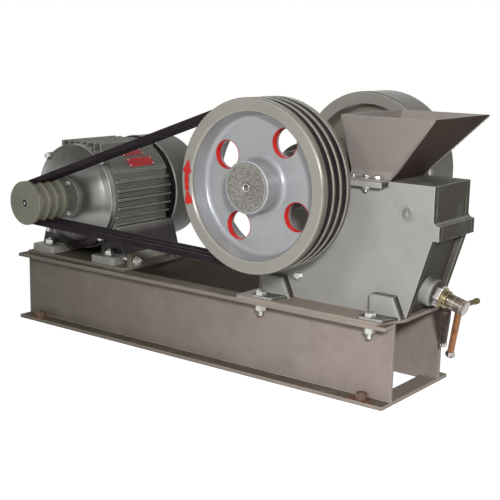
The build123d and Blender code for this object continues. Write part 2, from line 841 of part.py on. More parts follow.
# Jaw liners: two slabs that face each other across the chamber
front_liner_bottom_x = slope_wall_inner_x - jaw_body_thickness - jaw_liner_thickness
swing_liner_bottom_x = front_liner_bottom_x - jaw_outlet
for name, top_x, bottom_x, thickness in (
        ("front", mouth_front_x, front_liner_bottom_x, jaw_liner_thickness),
        ("swing", swing_liner_top_x, swing_liner_bottom_x, -jaw_liner_thickness)):
    with BuildPart() as liner:
        with BuildSketch(Plane.XZ.offset(-liner_half_width)):
            with BuildLine():
                Polyline(
                    (top_x, jaw_top_z),
                    (bottom_x, jaw_bottom_z),
                    (bottom_x + thickness, jaw_bottom_z),
                    (top_x + thickness, jaw_top_z),
                    (top_x, jaw_top_z),
                )
            make_face()
        extrude(amount=2 * liner_half_width)
    save(liner.part, f"{name}_jaw_liner")

# Front jaw: hangs from the pivot pin, its back along the wall, and the screw bears on it
front_jaw_foot_z = jaw_bottom_z - screw_radius
jaw_back_foot_x = slope_wall_inner_x - jaw_side_clearance
jaw_back_x = pivot_x + jaw_body_thickness / 2
with BuildPart() as front_jaw:
    with BuildSketch(Plane.XZ.offset(-liner_half_width)):
        with BuildLine():
            Polyline(
                (mouth_front_x + jaw_liner_thickness, jaw_top_z),
                (front_liner_bottom_x + jaw_liner_thickness, jaw_bottom_z),
                (front_liner_bottom_x + jaw_liner_thickness, front_jaw_foot_z),
                (jaw_back_foot_x + slope_run * (front_jaw_foot_z - floor_z), front_jaw_foot_z),
                (jaw_back_x, floor_z + (jaw_back_x - jaw_back_foot_x) / slope_run),
                (jaw_back_x, jaw_top_z),
                (mouth_front_x + jaw_liner_thickness, jaw_top_z),
            )
        make_face()
        with Locations((pivot_x, pivot_z)):
            Circle(pivot_radius, mode=Mode.SUBTRACT)
    extrude(amount=2 * liner_half_width)
save(front_jaw.part, "front_jaw")

with BuildPart() as pivot_pin:
    with BuildSketch(Plane.XZ.offset(-body_half_width)):
        with Locations((pivot_x, pivot_z)):
            Circle(pivot_radius)
    extrude(amount=2 * body_half_width)
save(pivot_pin.part, "jaw_pivot_pin")

# Swing jaw: a round head on the shaft and a leg down the chamber
swing_foot_x = swing_liner_bottom_x - jaw_liner_thickness - jaw_body_thickness
toggle_z = jaw_bottom_z + jaw_body_thickness / 2
with BuildPart() as swing_jaw:
    with BuildSketch(Plane.XZ.offset(-liner_half_width)):
        with BuildLine():
            Polyline(
                (swing_liner_top_x - jaw_liner_thickness, jaw_top_z),
                (swing_liner_bottom_x - jaw_liner_thickness, jaw_bottom_z),
                (swing_foot_x, jaw_bottom_z),
                (swing_foot_x, toggle_z + toggle_thickness),
                (shaft_x - swing_neck_reach, shaft_z - swing_neck_reach),
                (shaft_x, jaw_top_z),
                (swing_liner_top_x - jaw_liner_thickness, jaw_top_z),
            )
        make_face()
        with Locations((shaft_x, shaft_z)):
            Circle(swing_head_radius)
            Circle(shaft_eccentric_radius + shaft_clearance, mode=Mode.SUBTRACT)
    extrude(amount=2 * liner_half_width)
save(swing_jaw.part, "swing_jaw")

# Cheek liners on the side plates' inner faces
for name, side in (("near", -1), ("far", 1)):
    with BuildPart() as cheek:
        with BuildSketch(Plane.XZ.offset(-side * inner_half_width)):
            with BuildLine():
                Polyline(
                    (swing_liner_top_x - jaw_liner_thickness, jaw_top_z),
                    (mouth_front_x + jaw_liner_thickness, jaw_top_z),
                    (front_liner_bottom_x + jaw_liner_thickness, jaw_bottom_z),
                    (swing_liner_bottom_x - jaw_liner_thickness, jaw_bottom_z),
                    (swing_liner_top_x - jaw_liner_thickness, jaw_top_z),
                )
            make_face()
        extrude(amount=side * cheek_thickness)
    save(cheek.part, f"cheek_liner_{name}")

# Toggle plate from the rear wall to the swing jaw's foot
with BuildPart() as toggle_plate:
    with Locations((rear_wall_front_x, 0, toggle_z)):
        Box(swing_foot_x - rear_wall_front_x, 2 * liner_half_width, toggle_thickness,
            align=(Align.MIN, Align.CENTER, Align.CENTER))
save(toggle_plate.part, "toggle_plate")

# Adjusting gear, measured along the screw from the slope: lock nut with its lever,
# screw with a capstan head, two bars
def bar_plane(distance, turn):
    """Plane across a bar that leaves the screw's axis, turned from below towards +Y."""
    angle = radians(turn)
    return Plane(origin=slope_plane.offset(distance).origin,
                 z_dir=slope_plane.x_dir * sin(angle) - slope_plane.y_dir * cos(angle))


nut_rear = screw_boss_reach + seat_gap
nut_front = nut_rear + lock_nut_length + collar_length
with BuildPart() as lock_nut:
    with BuildSketch(slope_plane.offset(nut_rear)):
        Circle(lock_nut_radius)
        Circle(screw_radius + shaft_clearance, mode=Mode.SUBTRACT)
    extrude(amount=nut_front - nut_rear)
save(lock_nut.part, "lock_nut")
lever_plane = bar_plane(nut_front - collar_length / 2, lock_lever_angle)
with BuildPart() as lock_lever:
    for height, radius in ((lock_nut_radius, lever_root_radius),
                           (lock_nut_radius + lock_lever_length, lever_tip_radius)):
        with BuildSketch(lever_plane.offset(height)):
            Circle(radius)
    loft()
save(lock_lever.part, "lock_lever")
screw_rear = seat_gap - slope_cos * (front_wall_recess + front_wall_thickness
                                     + jaw_side_clearance)
capstan_rear = nut_front + capstan_gap
capstan_front = capstan_rear + capstan_length
with BuildPart() as screw:
    with BuildSketch(slope_plane.offset(screw_rear)):
        Circle(screw_radius)
    extrude(amount=capstan_rear - screw_rear)
    with BuildSketch(slope_plane.offset(capstan_rear)):
        Circle(capstan_radius)
    extrude(amount=capstan_length)
save(screw.part, "adjusting_screw")
for name, turn, length in (("long_bar", long_bar_angle, long_bar_length),
                           ("short_bar", short_bar_angle, short_bar_length)):
    with BuildPart() as bar:
        with BuildSketch(bar_plane(capstan_front - bar_inset, turn).offset(capstan_radius)):
            Circle(bar_radius)
        extrude(amount=length)
    save(bar.part, name)
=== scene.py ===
# %% [markdown]
# # A laboratory jaw crusher, dressed for a studio photograph
#
# The machine's true shape comes from its CAD model: beams, castings, wheels,
# belts and jaws are already there, in metres. What a maker still adds is what
# the eye reads as real: bolts and their stains, paint that pooled and wore,
# lathe marks, threads, the red touches. Each cell adds one of those.

# %% Load the frame
import json
from math import cos, pi, radians, sin

import bmesh
import bpy
from mathutils import Matrix, Vector


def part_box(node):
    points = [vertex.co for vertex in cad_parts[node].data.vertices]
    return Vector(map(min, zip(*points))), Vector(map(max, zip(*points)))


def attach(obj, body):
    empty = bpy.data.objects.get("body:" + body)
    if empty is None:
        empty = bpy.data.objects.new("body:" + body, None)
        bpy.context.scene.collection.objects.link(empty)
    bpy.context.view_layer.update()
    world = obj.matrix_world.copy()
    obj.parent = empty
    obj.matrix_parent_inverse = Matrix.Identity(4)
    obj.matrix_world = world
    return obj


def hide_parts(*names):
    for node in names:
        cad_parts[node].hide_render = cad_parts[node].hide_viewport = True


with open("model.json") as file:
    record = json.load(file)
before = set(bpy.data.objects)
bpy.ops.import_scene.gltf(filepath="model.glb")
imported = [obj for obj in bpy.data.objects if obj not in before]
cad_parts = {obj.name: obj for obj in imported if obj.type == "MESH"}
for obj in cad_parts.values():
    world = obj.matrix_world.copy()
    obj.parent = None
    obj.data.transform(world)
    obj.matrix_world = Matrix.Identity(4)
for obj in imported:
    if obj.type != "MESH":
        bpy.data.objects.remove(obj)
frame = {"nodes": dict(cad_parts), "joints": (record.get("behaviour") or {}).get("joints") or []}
scene = bpy.context.scene
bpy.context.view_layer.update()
nodes = frame["nodes"]

# %% [markdown]
# ## Camera
#
# The photograph was taken from the front corner on the belt side, a little
# above the machine. Three angles and a place say that more clearly than nine
# matrix numbers, so the turn is built from them: azimuth round the machine,
# pitch down, and a slight roll of the hand.

# %% Camera
CAMERA_PLACE = Vector((1.1044, -1.3583, 0.5243))
CAMERA_AZIMUTH = radians(37.236)
CAMERA_PITCH = radians(11.439)
CAMERA_ROLL = radians(1.0894)
LENS = 74.64

camera_data = bpy.data.cameras.new("camera")
camera_data.lens = LENS
camera_data.sensor_width = 36.0
camera = bpy.data.objects.new("camera", camera_data)
turn = (Matrix.Rotation(CAMERA_AZIMUTH, 4, "Z")
        @ Matrix.Rotation(pi / 2 - CAMERA_PITCH, 4, "X")
        @ Matrix.Rotation(CAMERA_ROLL, 4, "Z"))
camera.matrix_world = Matrix.Translation(CAMERA_PLACE) @ turn
scene.collection.objects.link(camera)
scene.camera = camera
scene.view_settings.view_transform = "Standard"
print("camera looks along", tuple(round(c, 3) for c in -turn.col[2].xyz))

# %% [markdown]
# ## Building with nodes and meshes
#
# A finish is a tree of small nodes. Two helpers keep such trees short enough
# to read: one makes a node and fills its inputs, with numbers or with what
# other nodes put out, and one gives the result of a sum. The last helper puts
# a mesh into the scene at the origin, where every piece here has its object.


# %% Node and mesh helpers
def shader_nodes(owner):
    """The empty node tree of a material or world, ready to be filled."""
    owner.use_nodes = True
    owner.node_tree.nodes.clear()
    return owner.node_tree


def feed(tree, socket, value):
    """Link an input to a node or to its output, or set it to a plain value."""
    if isinstance(value, bpy.types.Node):
        value = value.outputs[0]
    if isinstance(value, bpy.types.NodeSocket):
        tree.links.new(value, socket)
    else:
        socket.default_value = value


def add_node(tree, kind, *first_inputs, **settings):
    """One shader node. Settings are properties, or inputs with _ for each space."""
    node = tree.nodes.new("ShaderNode" + kind)
    for key, value in settings.items():
        socket = key.replace("_", " ")
        if socket in node.inputs:
            feed(tree, node.inputs[socket], value)
        else:
            setattr(node, key, value)
    for socket, value in zip(node.inputs, first_inputs):
        feed(tree, socket, value)
    return node


def maths(tree, operation, *values):
    """The result of a Math node on sockets or numbers."""
    return add_node(tree, "Math", *values, operation=operation).outputs[0]


def multiply(tree, *values):
    """The product of two sockets or numbers."""
    return maths(tree, "MULTIPLY", *values)


def add_mesh(bm, name, material):
    """A bmesh as an object at the origin, with one material."""
    mesh = bpy.data.meshes.new(name)
    bm.to_mesh(mesh)
    bm.free()
    mesh.materials.append(material)
    made = bpy.data.objects.new(name, mesh)
    scene.collection.objects.link(made)
    return made


# %% [markdown]
# ## Light and floor
#
# The photograph was lit by a flash beside the camera: faces towards it are
# bright, the crusher's front is darker, and the light falls off along the beam
# towards the motor. One small lamp does much of that; the darker front and the
# fall along the base are also painted shade in their paints. A weak lamp to its
# left makes the glint on the motor's domed shield, and a weak one above and an
# even world keep the shadows open. The floor is white where the camera looks at
# it, yet it still takes the machine's shadow: most of what it sends out is its
# own, the rest is light that can be blocked.

# %% Light and floor
WORLD_FILL = 0.16
WARM_FILL = (1.0, 0.95, 0.84, 1)
WHITE = (1, 1, 1, 1)
FLOOR_GLOW = 0.91
FLOOR_COLOUR = (0.6, 0.6, 0.6, 1)
FLOOR_REACH = 40.0
MACHINE_CENTRE = (0.1, 0.0, 0.22)


def seen_directly(tree):
    """A mask of rays that come from the camera, a mirror or glass."""
    rays = add_node(tree, "LightPath").outputs
    sharp = maths(tree, "MAXIMUM", rays["Is Camera Ray"], rays["Is Glossy Ray"])
    return maths(tree, "MAXIMUM", sharp, rays["Is Transmission Ray"])


world = bpy.data.worlds.new("studio")
scene.world = world
tree = shader_nodes(world)
fill = add_node(tree, "Background", Color=WARM_FILL, Strength=WORLD_FILL)
backdrop = add_node(tree, "Background", Color=WHITE, Strength=1.0)
choose = add_node(tree, "MixShader", seen_directly(tree), fill, backdrop)
add_node(tree, "OutputWorld", choose)

floor_paint = bpy.data.materials.new("floor_paint")
tree = shader_nodes(floor_paint)
shown = multiply(tree, seen_directly(tree), FLOOR_GLOW)
lit = add_node(tree, "BsdfDiffuse", Color=FLOOR_COLOUR)
glow = add_node(tree, "Emission", Color=WHITE, Strength=shown)
total = add_node(tree, "AddShader", lit, glow)
add_node(tree, "OutputMaterial", total)

bm = bmesh.new()
bmesh.ops.create_grid(bm, x_segments=1, y_segments=1, size=FLOOR_REACH)
floor = add_mesh(bm, "floor", floor_paint)


def soft_lamp(name, spot, size, power):
    """A square area lamp that looks from a place at the machine."""
    data = bpy.data.lights.new(name, "AREA")
    data.size = size
    data.energy = power
    lamp = bpy.data.objects.new(name, data)
    aim = (Vector(MACHINE_CENTRE) - Vector(spot)).to_track_quat("-Z", "Y")
    lamp.matrix_world = Matrix.Translation(spot) @ aim.to_matrix().to_4x4()
    scene.collection.objects.link(lamp)


soft_lamp("flash", (1.30, -1.33, 0.80), 0.16, 22.5)
soft_lamp("side_lamp", (0.31, -1.13, 0.60), 0.3, 2.0)
soft_lamp("top_lamp", (0.1, 0.3, 2.6), 1.8, 5)

# %% [markdown]
# ## Turning places into numbers
#
# Nothing below is typed as a place in the room where the CAD can say it. The
# wheel's axle, the motor's axis and the flange heights are read from the boxes
# of the nodes that carry them, so a change in the CAD moves the details too.

# %% Places read from the frame
MM = 0.001


def node_box(name):
    """Lowest and highest corner of a node, as two vectors."""
    low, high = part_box(name)
    return Vector(low), Vector(high)


def middle(name):
    """Centre of a node's box."""
    low, high = node_box(name)
    return (low + high) / 2


wheel_axis = middle("flywheel_near")
motor_axis = middle("bearing_cap")
frame_low, frame_high = node_box("motor_frame")
motor_radius = (frame_high.z - frame_low.z) / 2
body_side = node_box("jaw_pivot_pin")[1].y
foot_low, foot_high = node_box("foot_plate")
foot_top = foot_high.z
print("wheel axis", tuple(wheel_axis), "motor radius", round(motor_radius, 4))

# %% [markdown]
# ## Effects that several finishes share
#
# Real enamel on castings is never one colour. It has broad clouds from the
# spray gun, fine dirt in its pores, dust that settles on whatever faces up, and
# a rounded, paler line along each edge, partly wear and partly a painted
# highlight. Faces towards the crusher's front are darkened too: painted shade.
# Each effect is one node group, built once, and every finish below places it
# with its own strength.

# %% Group helpers
VECTOR, VALUE, COLOUR = "NodeSocketVector", "NodeSocketFloat", "NodeSocketColor"


def new_group(name, **inputs):
    """A node group and its inputs, given by their kinds, with _ for each space."""
    group = bpy.data.node_groups.new(name, "ShaderNodeTree")
    for socket, kind in inputs.items():
        group.interface.new_socket(socket.replace("_", " "), in_out="INPUT",
                                   socket_type=kind)
    return group, group.nodes.new("NodeGroupInput").outputs


def close_group(group, **results):
    """Put sockets out of a group, each a colour or a value like its result."""
    for name, result in results.items():
        group.interface.new_socket(name.replace("_", " "), in_out="OUTPUT",
                                   socket_type=COLOUR if result.type == "RGBA" else VALUE)
    for socket, result in zip(group.nodes.new("NodeGroupOutput").inputs, results.values()):
        feed(group, socket, result)


def mix_colour(tree, factor, first, second):
    """The result of mixing two colours by a factor."""
    mix = add_node(tree, "Mix", factor, data_type="RGBA")
    feed(tree, mix.inputs[6], first)
    feed(tree, mix.inputs[7], second)
    return mix.outputs[2]


def noise(tree, vector, scale, detail=2.0, roughness=0.5):
    """The value of a noise texture at a vector socket."""
    return add_node(tree, "TexNoise", Vector=vector, Scale=scale, Detail=detail,
                    Roughness=roughness).outputs[0]


def spread(tree, value, low, high):
    """A value stretched so that low becomes 0 and high becomes 1."""
    return add_node(tree, "MapRange", value, low, high).outputs[0]


# %% Group: clouded paint
CLOUD_SCALE = 11.0
PORE_SCALE = 240.0
group, given = new_group("clouded_paint", Vector=VECTOR, Normal=VECTOR, Colour=COLOUR,
                         Dirt=COLOUR, Clouds=VALUE, Dirt_amount=VALUE, Settled=VALUE,
                         Front_grime=VALUE)
vector = given["Vector"]
cloud = spread(group, noise(group, vector, CLOUD_SCALE, 3.0), 0.3, 0.7)
level = maths(group, "SUBTRACT", maths(group, "MULTIPLY_ADD", cloud, given["Clouds"], 1.0),
              multiply(group, given["Clouds"], 0.5))
tinted = add_node(group, "VectorMath", given["Colour"], operation="SCALE",
                  Scale=level).outputs[0]
patches = spread(group, noise(group, vector, CLOUD_SCALE * 2.7, 6.0, 0.62), 0.5, 0.78)
specks = spread(group, noise(group, vector, PORE_SCALE, 2.0), 0.6, 0.74)
dirt = maths(group, "MAXIMUM", patches, multiply(group, specks, 0.6))
dirt = multiply(group, dirt, given["Dirt amount"])
facing = add_node(group, "SeparateXYZ", given["Normal"]).outputs
drifts = spread(group, noise(group, vector, CLOUD_SCALE * 1.6, 5.0, 0.6), 0.05, 0.5)
settled = multiply(group, spread(group, facing["Z"], 0.55, 0.95), drifts)
settled = multiply(group, settled, given["Settled"])
# Painted shade: faces towards +X, the crusher's front, darken to the dirt colour.
smears = spread(group, noise(group, vector, CLOUD_SCALE * 2.2, 5.0, 0.6), -0.9, 0.45)
shade = multiply(group, spread(group, facing["X"], 0.45, 0.9), smears)
shade = multiply(group, shade, given["Front grime"])
dirt = maths(group, "MAXIMUM", dirt, maths(group, "MAXIMUM", settled, shade))
close_group(group, Colour=mix_colour(group, dirt, tinted, given["Dirt"]), Dirt_mask=dirt,
            Height=noise(group, vector, PORE_SCALE * 1.6, 3.0))
clouded_paint = group

# %% [markdown]
# The CAD's edges are perfectly sharp, and no real edge is. The Bevel node
# rounds the normal near an edge without touching the mesh, and where its
# normal differs from the face's own there is an edge, lightened partly as wear
# and partly as a painted highlight.

# %% Group: rounded edges
EDGE_ROUND = 0.0019
# Wear sets the pale edge line, which is partly wear, partly painted highlight.
group, given = new_group("rounded_edges", Noise=VALUE, Wear=VALUE)
bevel = add_node(group, "Bevel", samples=4, Radius=EDGE_ROUND)
face = add_node(group, "NewGeometry").outputs["Normal"]
align = add_node(group, "VectorMath", bevel, face, operation="DOT_PRODUCT")
edge = spread(group, align.outputs["Value"], 0.99, 0.86)
broken = multiply(group, edge, spread(group, given["Noise"], 0.25, 0.52))
close_group(group, Mask=multiply(group, broken, given["Wear"]))
rounded_edges = group

# %% [markdown]
# A lathe leaves fine rings about its axis. The distance from the axis, read
# from Object coordinates through a Mapping node, drives a one-dimensional
# noise: each radius gets its own height, so the rings never look like stripes
# of equal width.

# %% Group: lathe rings
RINGS_PER_METRE = 900.0
group, given = new_group("lathe_rings", Vector=VECTOR, Rings=VALUE)
radius = add_node(group, "VectorMath", given["Vector"],
                  operation="LENGTH").outputs["Value"]
ring = add_node(group, "TexNoise", noise_dimensions="1D", Detail=3.0,
                Roughness=0.7, W=radius, Scale=given["Rings"])
close_group(group, Value=ring.outputs[0], Radius=radius)
lathe_rings = group
print("groups:", [g.name for g in bpy.data.node_groups])

# %% [markdown]
# ## Enamels
#
# Colours were read off the photograph in the numbers that a paint shop or a
# screen would use, 0 to 255, and `paint` turns them into the linear light that
# a shader works in. The one enamel function serves every painted piece; what
# changes is its colour, its dirt, how glossy it is and how worn. Its last steps
# are the same for metal and rubber, so they are helpers of their own.

# %% Colour, edges and the last nodes
finish = {}


def paint(red, green, blue):
    """A screen colour from 0 to 255 as linear light with full alpha."""
    return tuple((c / 255 / 12.92) if c <= 10 else ((c / 255 + 0.055) / 1.055) ** 2.4
                 for c in (red, green, blue)) + (1,)


def new_material(name):
    """Keep a new material in `finish`; its empty tree and the object's coordinates."""
    finish[name] = bpy.data.materials.new(name)
    tree = shader_nodes(finish[name])
    return tree, add_node(tree, "TexCoord").outputs


def worn_edges(tree, broken, wear_and_highlight):
    """A mask of the edges, broken by a noise and as strong as the amount given."""
    return add_node(tree, "Group", node_tree=rounded_edges, Noise=broken,
                    Wear=wear_and_highlight).outputs["Mask"]


def close_material(tree, colour, rough, height, bump, depth, rounding, **values):
    """Relief over rounded edges, the shader with its values, and the output."""
    softened = add_node(tree, "Bevel", samples=4, Radius=rounding)
    relief = add_node(tree, "Bump", Strength=bump, Distance=depth,
                      Height=height, Normal=softened)
    surface = add_node(tree, "BsdfPrincipled", Base_Color=colour,
                       Roughness=rough, Normal=relief, **values)
    add_node(tree, "OutputMaterial", surface)


# %% Enamel
EDGE_NOISE = 60.0
CAST_NOISE = 560.0
DUST_NOISE = 30.0
PAINT_RELIEF = 0.0006


# front darkens faces towards +X: painted shade.
def enamel(name, colour, dirt, clouds=0.16, dirt_amount=0.3, settled=0.0, front=0.0,
           gloss=0.42, wear_and_highlight=0.3, worn_and_highlight=None, bump=0.12, specular=0.25, metallic=0.0,
           axis=None, zones=(), grain=None, veils=()):
    """Paint over metal, with clouds, dirt, paler edges and pores. An axis gives lathe
    rings, zones give other colours between two radii, grain a rough cast look inside a
    radius, and each veil a colour that thickens along an axis between two places, up to
    a limit past the second."""
    tree, spots = new_material(name)
    where = spots["Object"]
    base = zoned = paint(*colour)
    if axis is not None:
        centred = add_node(tree, "Mapping", vector_type="POINT", Vector=where,
                           Location=(-axis.x, 0, -axis.z), Scale=(1, 0, 1))
        rings = add_node(tree, "Group", node_tree=lathe_rings, Vector=centred,
                         Rings=RINGS_PER_METRE).outputs
        radius = rings["Radius"]
    for other, low, high in zones:
        inside = multiply(tree, maths(tree, "GREATER_THAN", radius, low),
                          maths(tree, "LESS_THAN", radius, high))
        zoned = mix_colour(tree, inside, zoned, paint(*other))
    coat = add_node(tree, "Group", node_tree=clouded_paint, Vector=where,
                    Normal=spots["Normal"], Colour=zoned, Dirt=paint(*dirt), Clouds=clouds,
                    Dirt_amount=dirt_amount, Settled=settled, Front_grime=front).outputs
    final, height = coat["Colour"], coat["Height"]
    if axis is not None:
        height = maths(tree, "MULTIPLY_ADD", rings["Value"], 1.2, height)
    if grain is not None:
        dark, reach = grain
        pits = spread(tree, noise(tree, where, CAST_NOISE, 3.0, 0.6), 0.42, 0.6)
        pits = multiply(tree, pits, maths(tree, "LESS_THAN", radius, reach))
        final = mix_colour(tree, pits, final, paint(*dark))
        height = maths(tree, "SUBTRACT", height, multiply(tree, pits, 2.0))
    for veil, direction, thin, thick, limit, amount in veils:
        along = add_node(tree, "SeparateXYZ", where).outputs[direction]
        before = maths(tree, "LESS_THAN" if thick > thin else "GREATER_THAN", along, limit)
        cover = multiply(tree, spread(tree, along, thin, thick), before)
        uneven = spread(tree, noise(tree, where, DUST_NOISE, 4.0), -0.4, 0.45)
        cover = multiply(tree, multiply(tree, cover, uneven), amount)
        final = mix_colour(tree, cover, final, paint(*veil))
    # The edges' pale colour: partly wear, partly a painted highlight.
    worn_and_highlight_colour = paint(*worn_and_highlight) if worn_and_highlight else tuple(min(1, c * 1.5 + 0.05) for c in base)
    edges = worn_edges(tree, noise(tree, where, EDGE_NOISE, 4.0), wear_and_highlight)
    close_material(tree, mix_colour(tree, edges, final, worn_and_highlight_colour),
                   maths(tree, "MULTIPLY_ADD", coat["Dirt mask"], 0.35, gloss), height,
                   bump, PAINT_RELIEF, EDGE_ROUND, Specular_IOR_Level=specular,
                   Metallic=metallic)


# %% [markdown]
# The crusher's castings and wheels are silver grey, its base a warmer grey. The
# motor's iron is greener, and whatever is low on it is painted dark: the shadow
# under the belts. A flywheel takes three colours, for its cast hub, its turned
# rim and its tread, and the far wheel's are darker, painted shade.

# %% Painted finishes
SOLE_TOP = foot_top + 16 * MM
# EDGE_SHINE, the edges' pale colour, is partly wear, partly a painted highlight.
EDGE_SHINE = (226, 228, 226)
# Painted shadow: a dark purple over whatever of the motor lies low, below the belts.
BELT_SHADOW = (46, 38, 42)
LOW_SHADOW = (BELT_SHADOW, "Z", 0.205, 0.178, SOLE_TOP, 1.0)
HUB_RADIUS, RIM_INNER, RIM_OUTER = 0.0362, 0.1065, 0.1256

# Painted shade: faces towards +X darken to the dirt colour (front), and a narrow band near y =
# +45 mm darkens to a dark olive (the veil).
enamel("casting_grey", (166, 165, 162), (54, 51, 40), clouds=0.10, dirt_amount=0.16,
       settled=0.8, front=0.95, gloss=0.38, wear_and_highlight=0.75, worn_and_highlight=EDGE_SHINE,
       veils=[((74, 70, 57), "Y", 0.0435, 0.0455, 0.0475, 0.85)])
# Painted shade: the base darkens towards -X, the motor's end, where less light reaches. Its
# darker upward faces are partly dust, partly painted shadow of the wheel and belts.
enamel("base_grey", (162, 150, 143), (86, 77, 62), dirt_amount=0.26, settled=0.85,
       gloss=0.40, wear_and_highlight=0.6, worn_and_highlight=(210, 200, 190),
       veils=[((74, 72, 58), "X", 0.30, -0.40, -1.0, 0.75)])
enamel("foot_grey", (164, 151, 141), (92, 82, 66), settled=0.2, wear_and_highlight=0.6,
       worn_and_highlight=(206, 194, 184))
# The far wheel, hub and tread too, is a darker copy of the near one: painted shade.
for name, web, tread in (("wheel_silver", (158, 160, 163), (112, 110, 96)),
                         ("far_wheel_shaded", (130, 125, 115), (68, 64, 53))):
    enamel(name, web, (104, 98, 88), clouds=0.10, dirt_amount=0.14, gloss=0.30, bump=0.25,
           wear_and_highlight=0.7, worn_and_highlight=EDGE_SHINE, specular=0.5, metallic=0.2, axis=wheel_axis,
           zones=[((144, 142, 136), 0.0, HUB_RADIUS),
                  ((146, 143, 136), RIM_INNER, RIM_OUTER), (tread, RIM_OUTER, 1.0)],
           grain=((94, 91, 86), HUB_RADIUS))
# The motor's iron and feet carry that painted shadow below the belts.
enamel("motor_grey", (103, 106, 97), (53, 51, 41), clouds=0.12, dirt_amount=0.28,
       settled=0.3, gloss=0.32, wear_and_highlight=0.7, worn_and_highlight=EDGE_SHINE, veils=[LOW_SHADOW])
enamel("foot_iron", (150, 149, 142), (78, 72, 60), dirt_amount=0.35, settled=0.2,
       gloss=0.36, wear_and_highlight=0.8, worn_and_highlight=EDGE_SHINE, veils=[LOW_SHADOW])
enamel("cowl_grey", (100, 102, 95), (60, 58, 49), clouds=0.12, settled=0.2, gloss=0.36)
# Painted shade on the shield: darkened below the belts (painted shadow) and above them.
enamel("shield_grey", (136, 138, 134), (76, 76, 68), clouds=0.10, dirt_amount=0.12,
       gloss=0.33, bump=0.2, specular=0.9, metallic=0.8, wear_and_highlight=0.8, worn_and_highlight=EDGE_SHINE,
       axis=motor_axis, veils=[(BELT_SHADOW, "Z", 0.215, 0.172, SOLE_TOP, 1.0),
                               ((50, 47, 42), "Z", 0.275, 0.312, 1.0, 0.85)])
enamel("pulley_olive", (121, 120, 105), (58, 54, 40), clouds=0.14, dirt_amount=0.4,
       gloss=0.34, bump=0.35, wear_and_highlight=0.6, worn_and_highlight=(190, 190, 172), specular=0.4,
       axis=motor_axis)
enamel("hopper_grey", (150, 142, 137), (92, 80, 72), clouds=0.12, dirt_amount=0.18,
       gloss=0.38, bump=0.06)
# Painted shade: the hopper's front plate, which leans forward and faces down, gets a darker copy
# of the hopper's paint.
enamel("hopper_front_shaded", (76, 64, 58), (50, 41, 37), clouds=0.18, gloss=0.6, bump=0.06,
       specular=0.02)
enamel("red_touch", (206, 44, 40), (120, 28, 24), clouds=0.3, dirt_amount=0.35, gloss=0.36,
       bump=0.1)
enamel("plate_red", (196, 34, 40), (110, 16, 26), clouds=0.35, dirt_amount=0.4, gloss=0.32,
       wear_and_highlight=0.5, worn_and_highlight=(205, 190, 180), bump=0.1)
enamel("plate_dark", (150, 30, 38), (84, 14, 24), clouds=0.35, dirt_amount=0.5, gloss=0.36,
       wear_and_highlight=0.4, worn_and_highlight=(190, 150, 144), bump=0.1)

# %% [markdown]
# ## Bare metal, rubber and iron
#
# Bolts are zinc plated, the lock nut is chromed, the bars are browned steel
# and the jaws are raw manganese iron, dark and scuffed. All share one metal
# function. Rust is only a colour mask here, since it appears as stains.

# %% Metal
METAL_NOISE = 700.0
METAL_WEAR = 0.5
METAL_RELIEF = 0.0004


def metal(name, colour, stain, stain_amount, gloss, bump=0.15, metallic=1.0, grain=90.0):
    """Bare or plated metal with stains that are duller than the rest."""
    tree, spots = new_material(name)
    where = spots["Object"]
    base = paint(*colour)
    stains = spread(tree, noise(tree, where, grain, 6.0, 0.6), 0.45, 0.7)
    stains = multiply(tree, stains, stain_amount)
    stained = mix_colour(tree, stains, base, paint(*stain))
    edges = worn_edges(tree, noise(tree, where, EDGE_NOISE, 4.0), METAL_WEAR)
    bright = tuple(min(1, c * 1.25 + 0.04) for c in base)
    close_material(tree, mix_colour(tree, edges, stained, bright),
                   maths(tree, "MULTIPLY_ADD", stains, 0.5, gloss),
                   noise(tree, where, METAL_NOISE, 3.0), bump, METAL_RELIEF, EDGE_ROUND / 2,
                   Metallic=metallic)


metal("zinc_bolt", (196, 196, 192), (120, 105, 84), 0.3, 0.34)
metal("turned_steel", (176, 174, 168), (104, 92, 74), 0.35, 0.3)
# Dark patches over most of the chrome and the capstan's steel stand for the dark surroundings
# they reflect: painted reflection.
metal("chromed", (186, 180, 176), (44, 36, 40), 0.8, 0.14, bump=0.05, grain=120.0)
metal("head_steel", (136, 124, 114), (40, 32, 30), 0.85, 0.16, bump=0.05, grain=110.0)
metal("brassy_collar", (158, 146, 112), (54, 44, 32), 0.8, 0.2, grain=120.0)
metal("browned_bar", (152, 108, 74), (74, 47, 30), 0.55, 0.34)
metal("olive_bar", (96, 84, 44), (46, 38, 20), 0.5, 0.42)
metal("dark_handle", (72, 58, 52), (38, 30, 28), 0.5, 0.46, metallic=0.6)
metal("rusted_nut", (116, 98, 84), (84, 46, 30), 0.9, 0.5, bump=0.6, metallic=0.5)
metal("rust_stain", (118, 78, 58), (84, 46, 30), 0.9, 0.7, bump=0.3, metallic=0.0)
metal("jaw_iron", (92, 88, 84), (54, 44, 38), 0.6, 0.5, bump=0.6, metallic=0.6)
# A near-black, used as painted shade in the pulley's bore and inside the cowl, and as the fan's
# own colour.
metal("dark_recess", (34, 32, 30), (20, 18, 16), 0.5, 0.7, metallic=0.0)

# %% [markdown]
# The belts are wrapped rubber: almost black with a purple cast, matt on the
# sides and a little polished on the back, with the fine weave of the wrapping
# cloth. A wave along the belt would slide round a bend, so the weave is a fine
# cell pattern that has no direction.

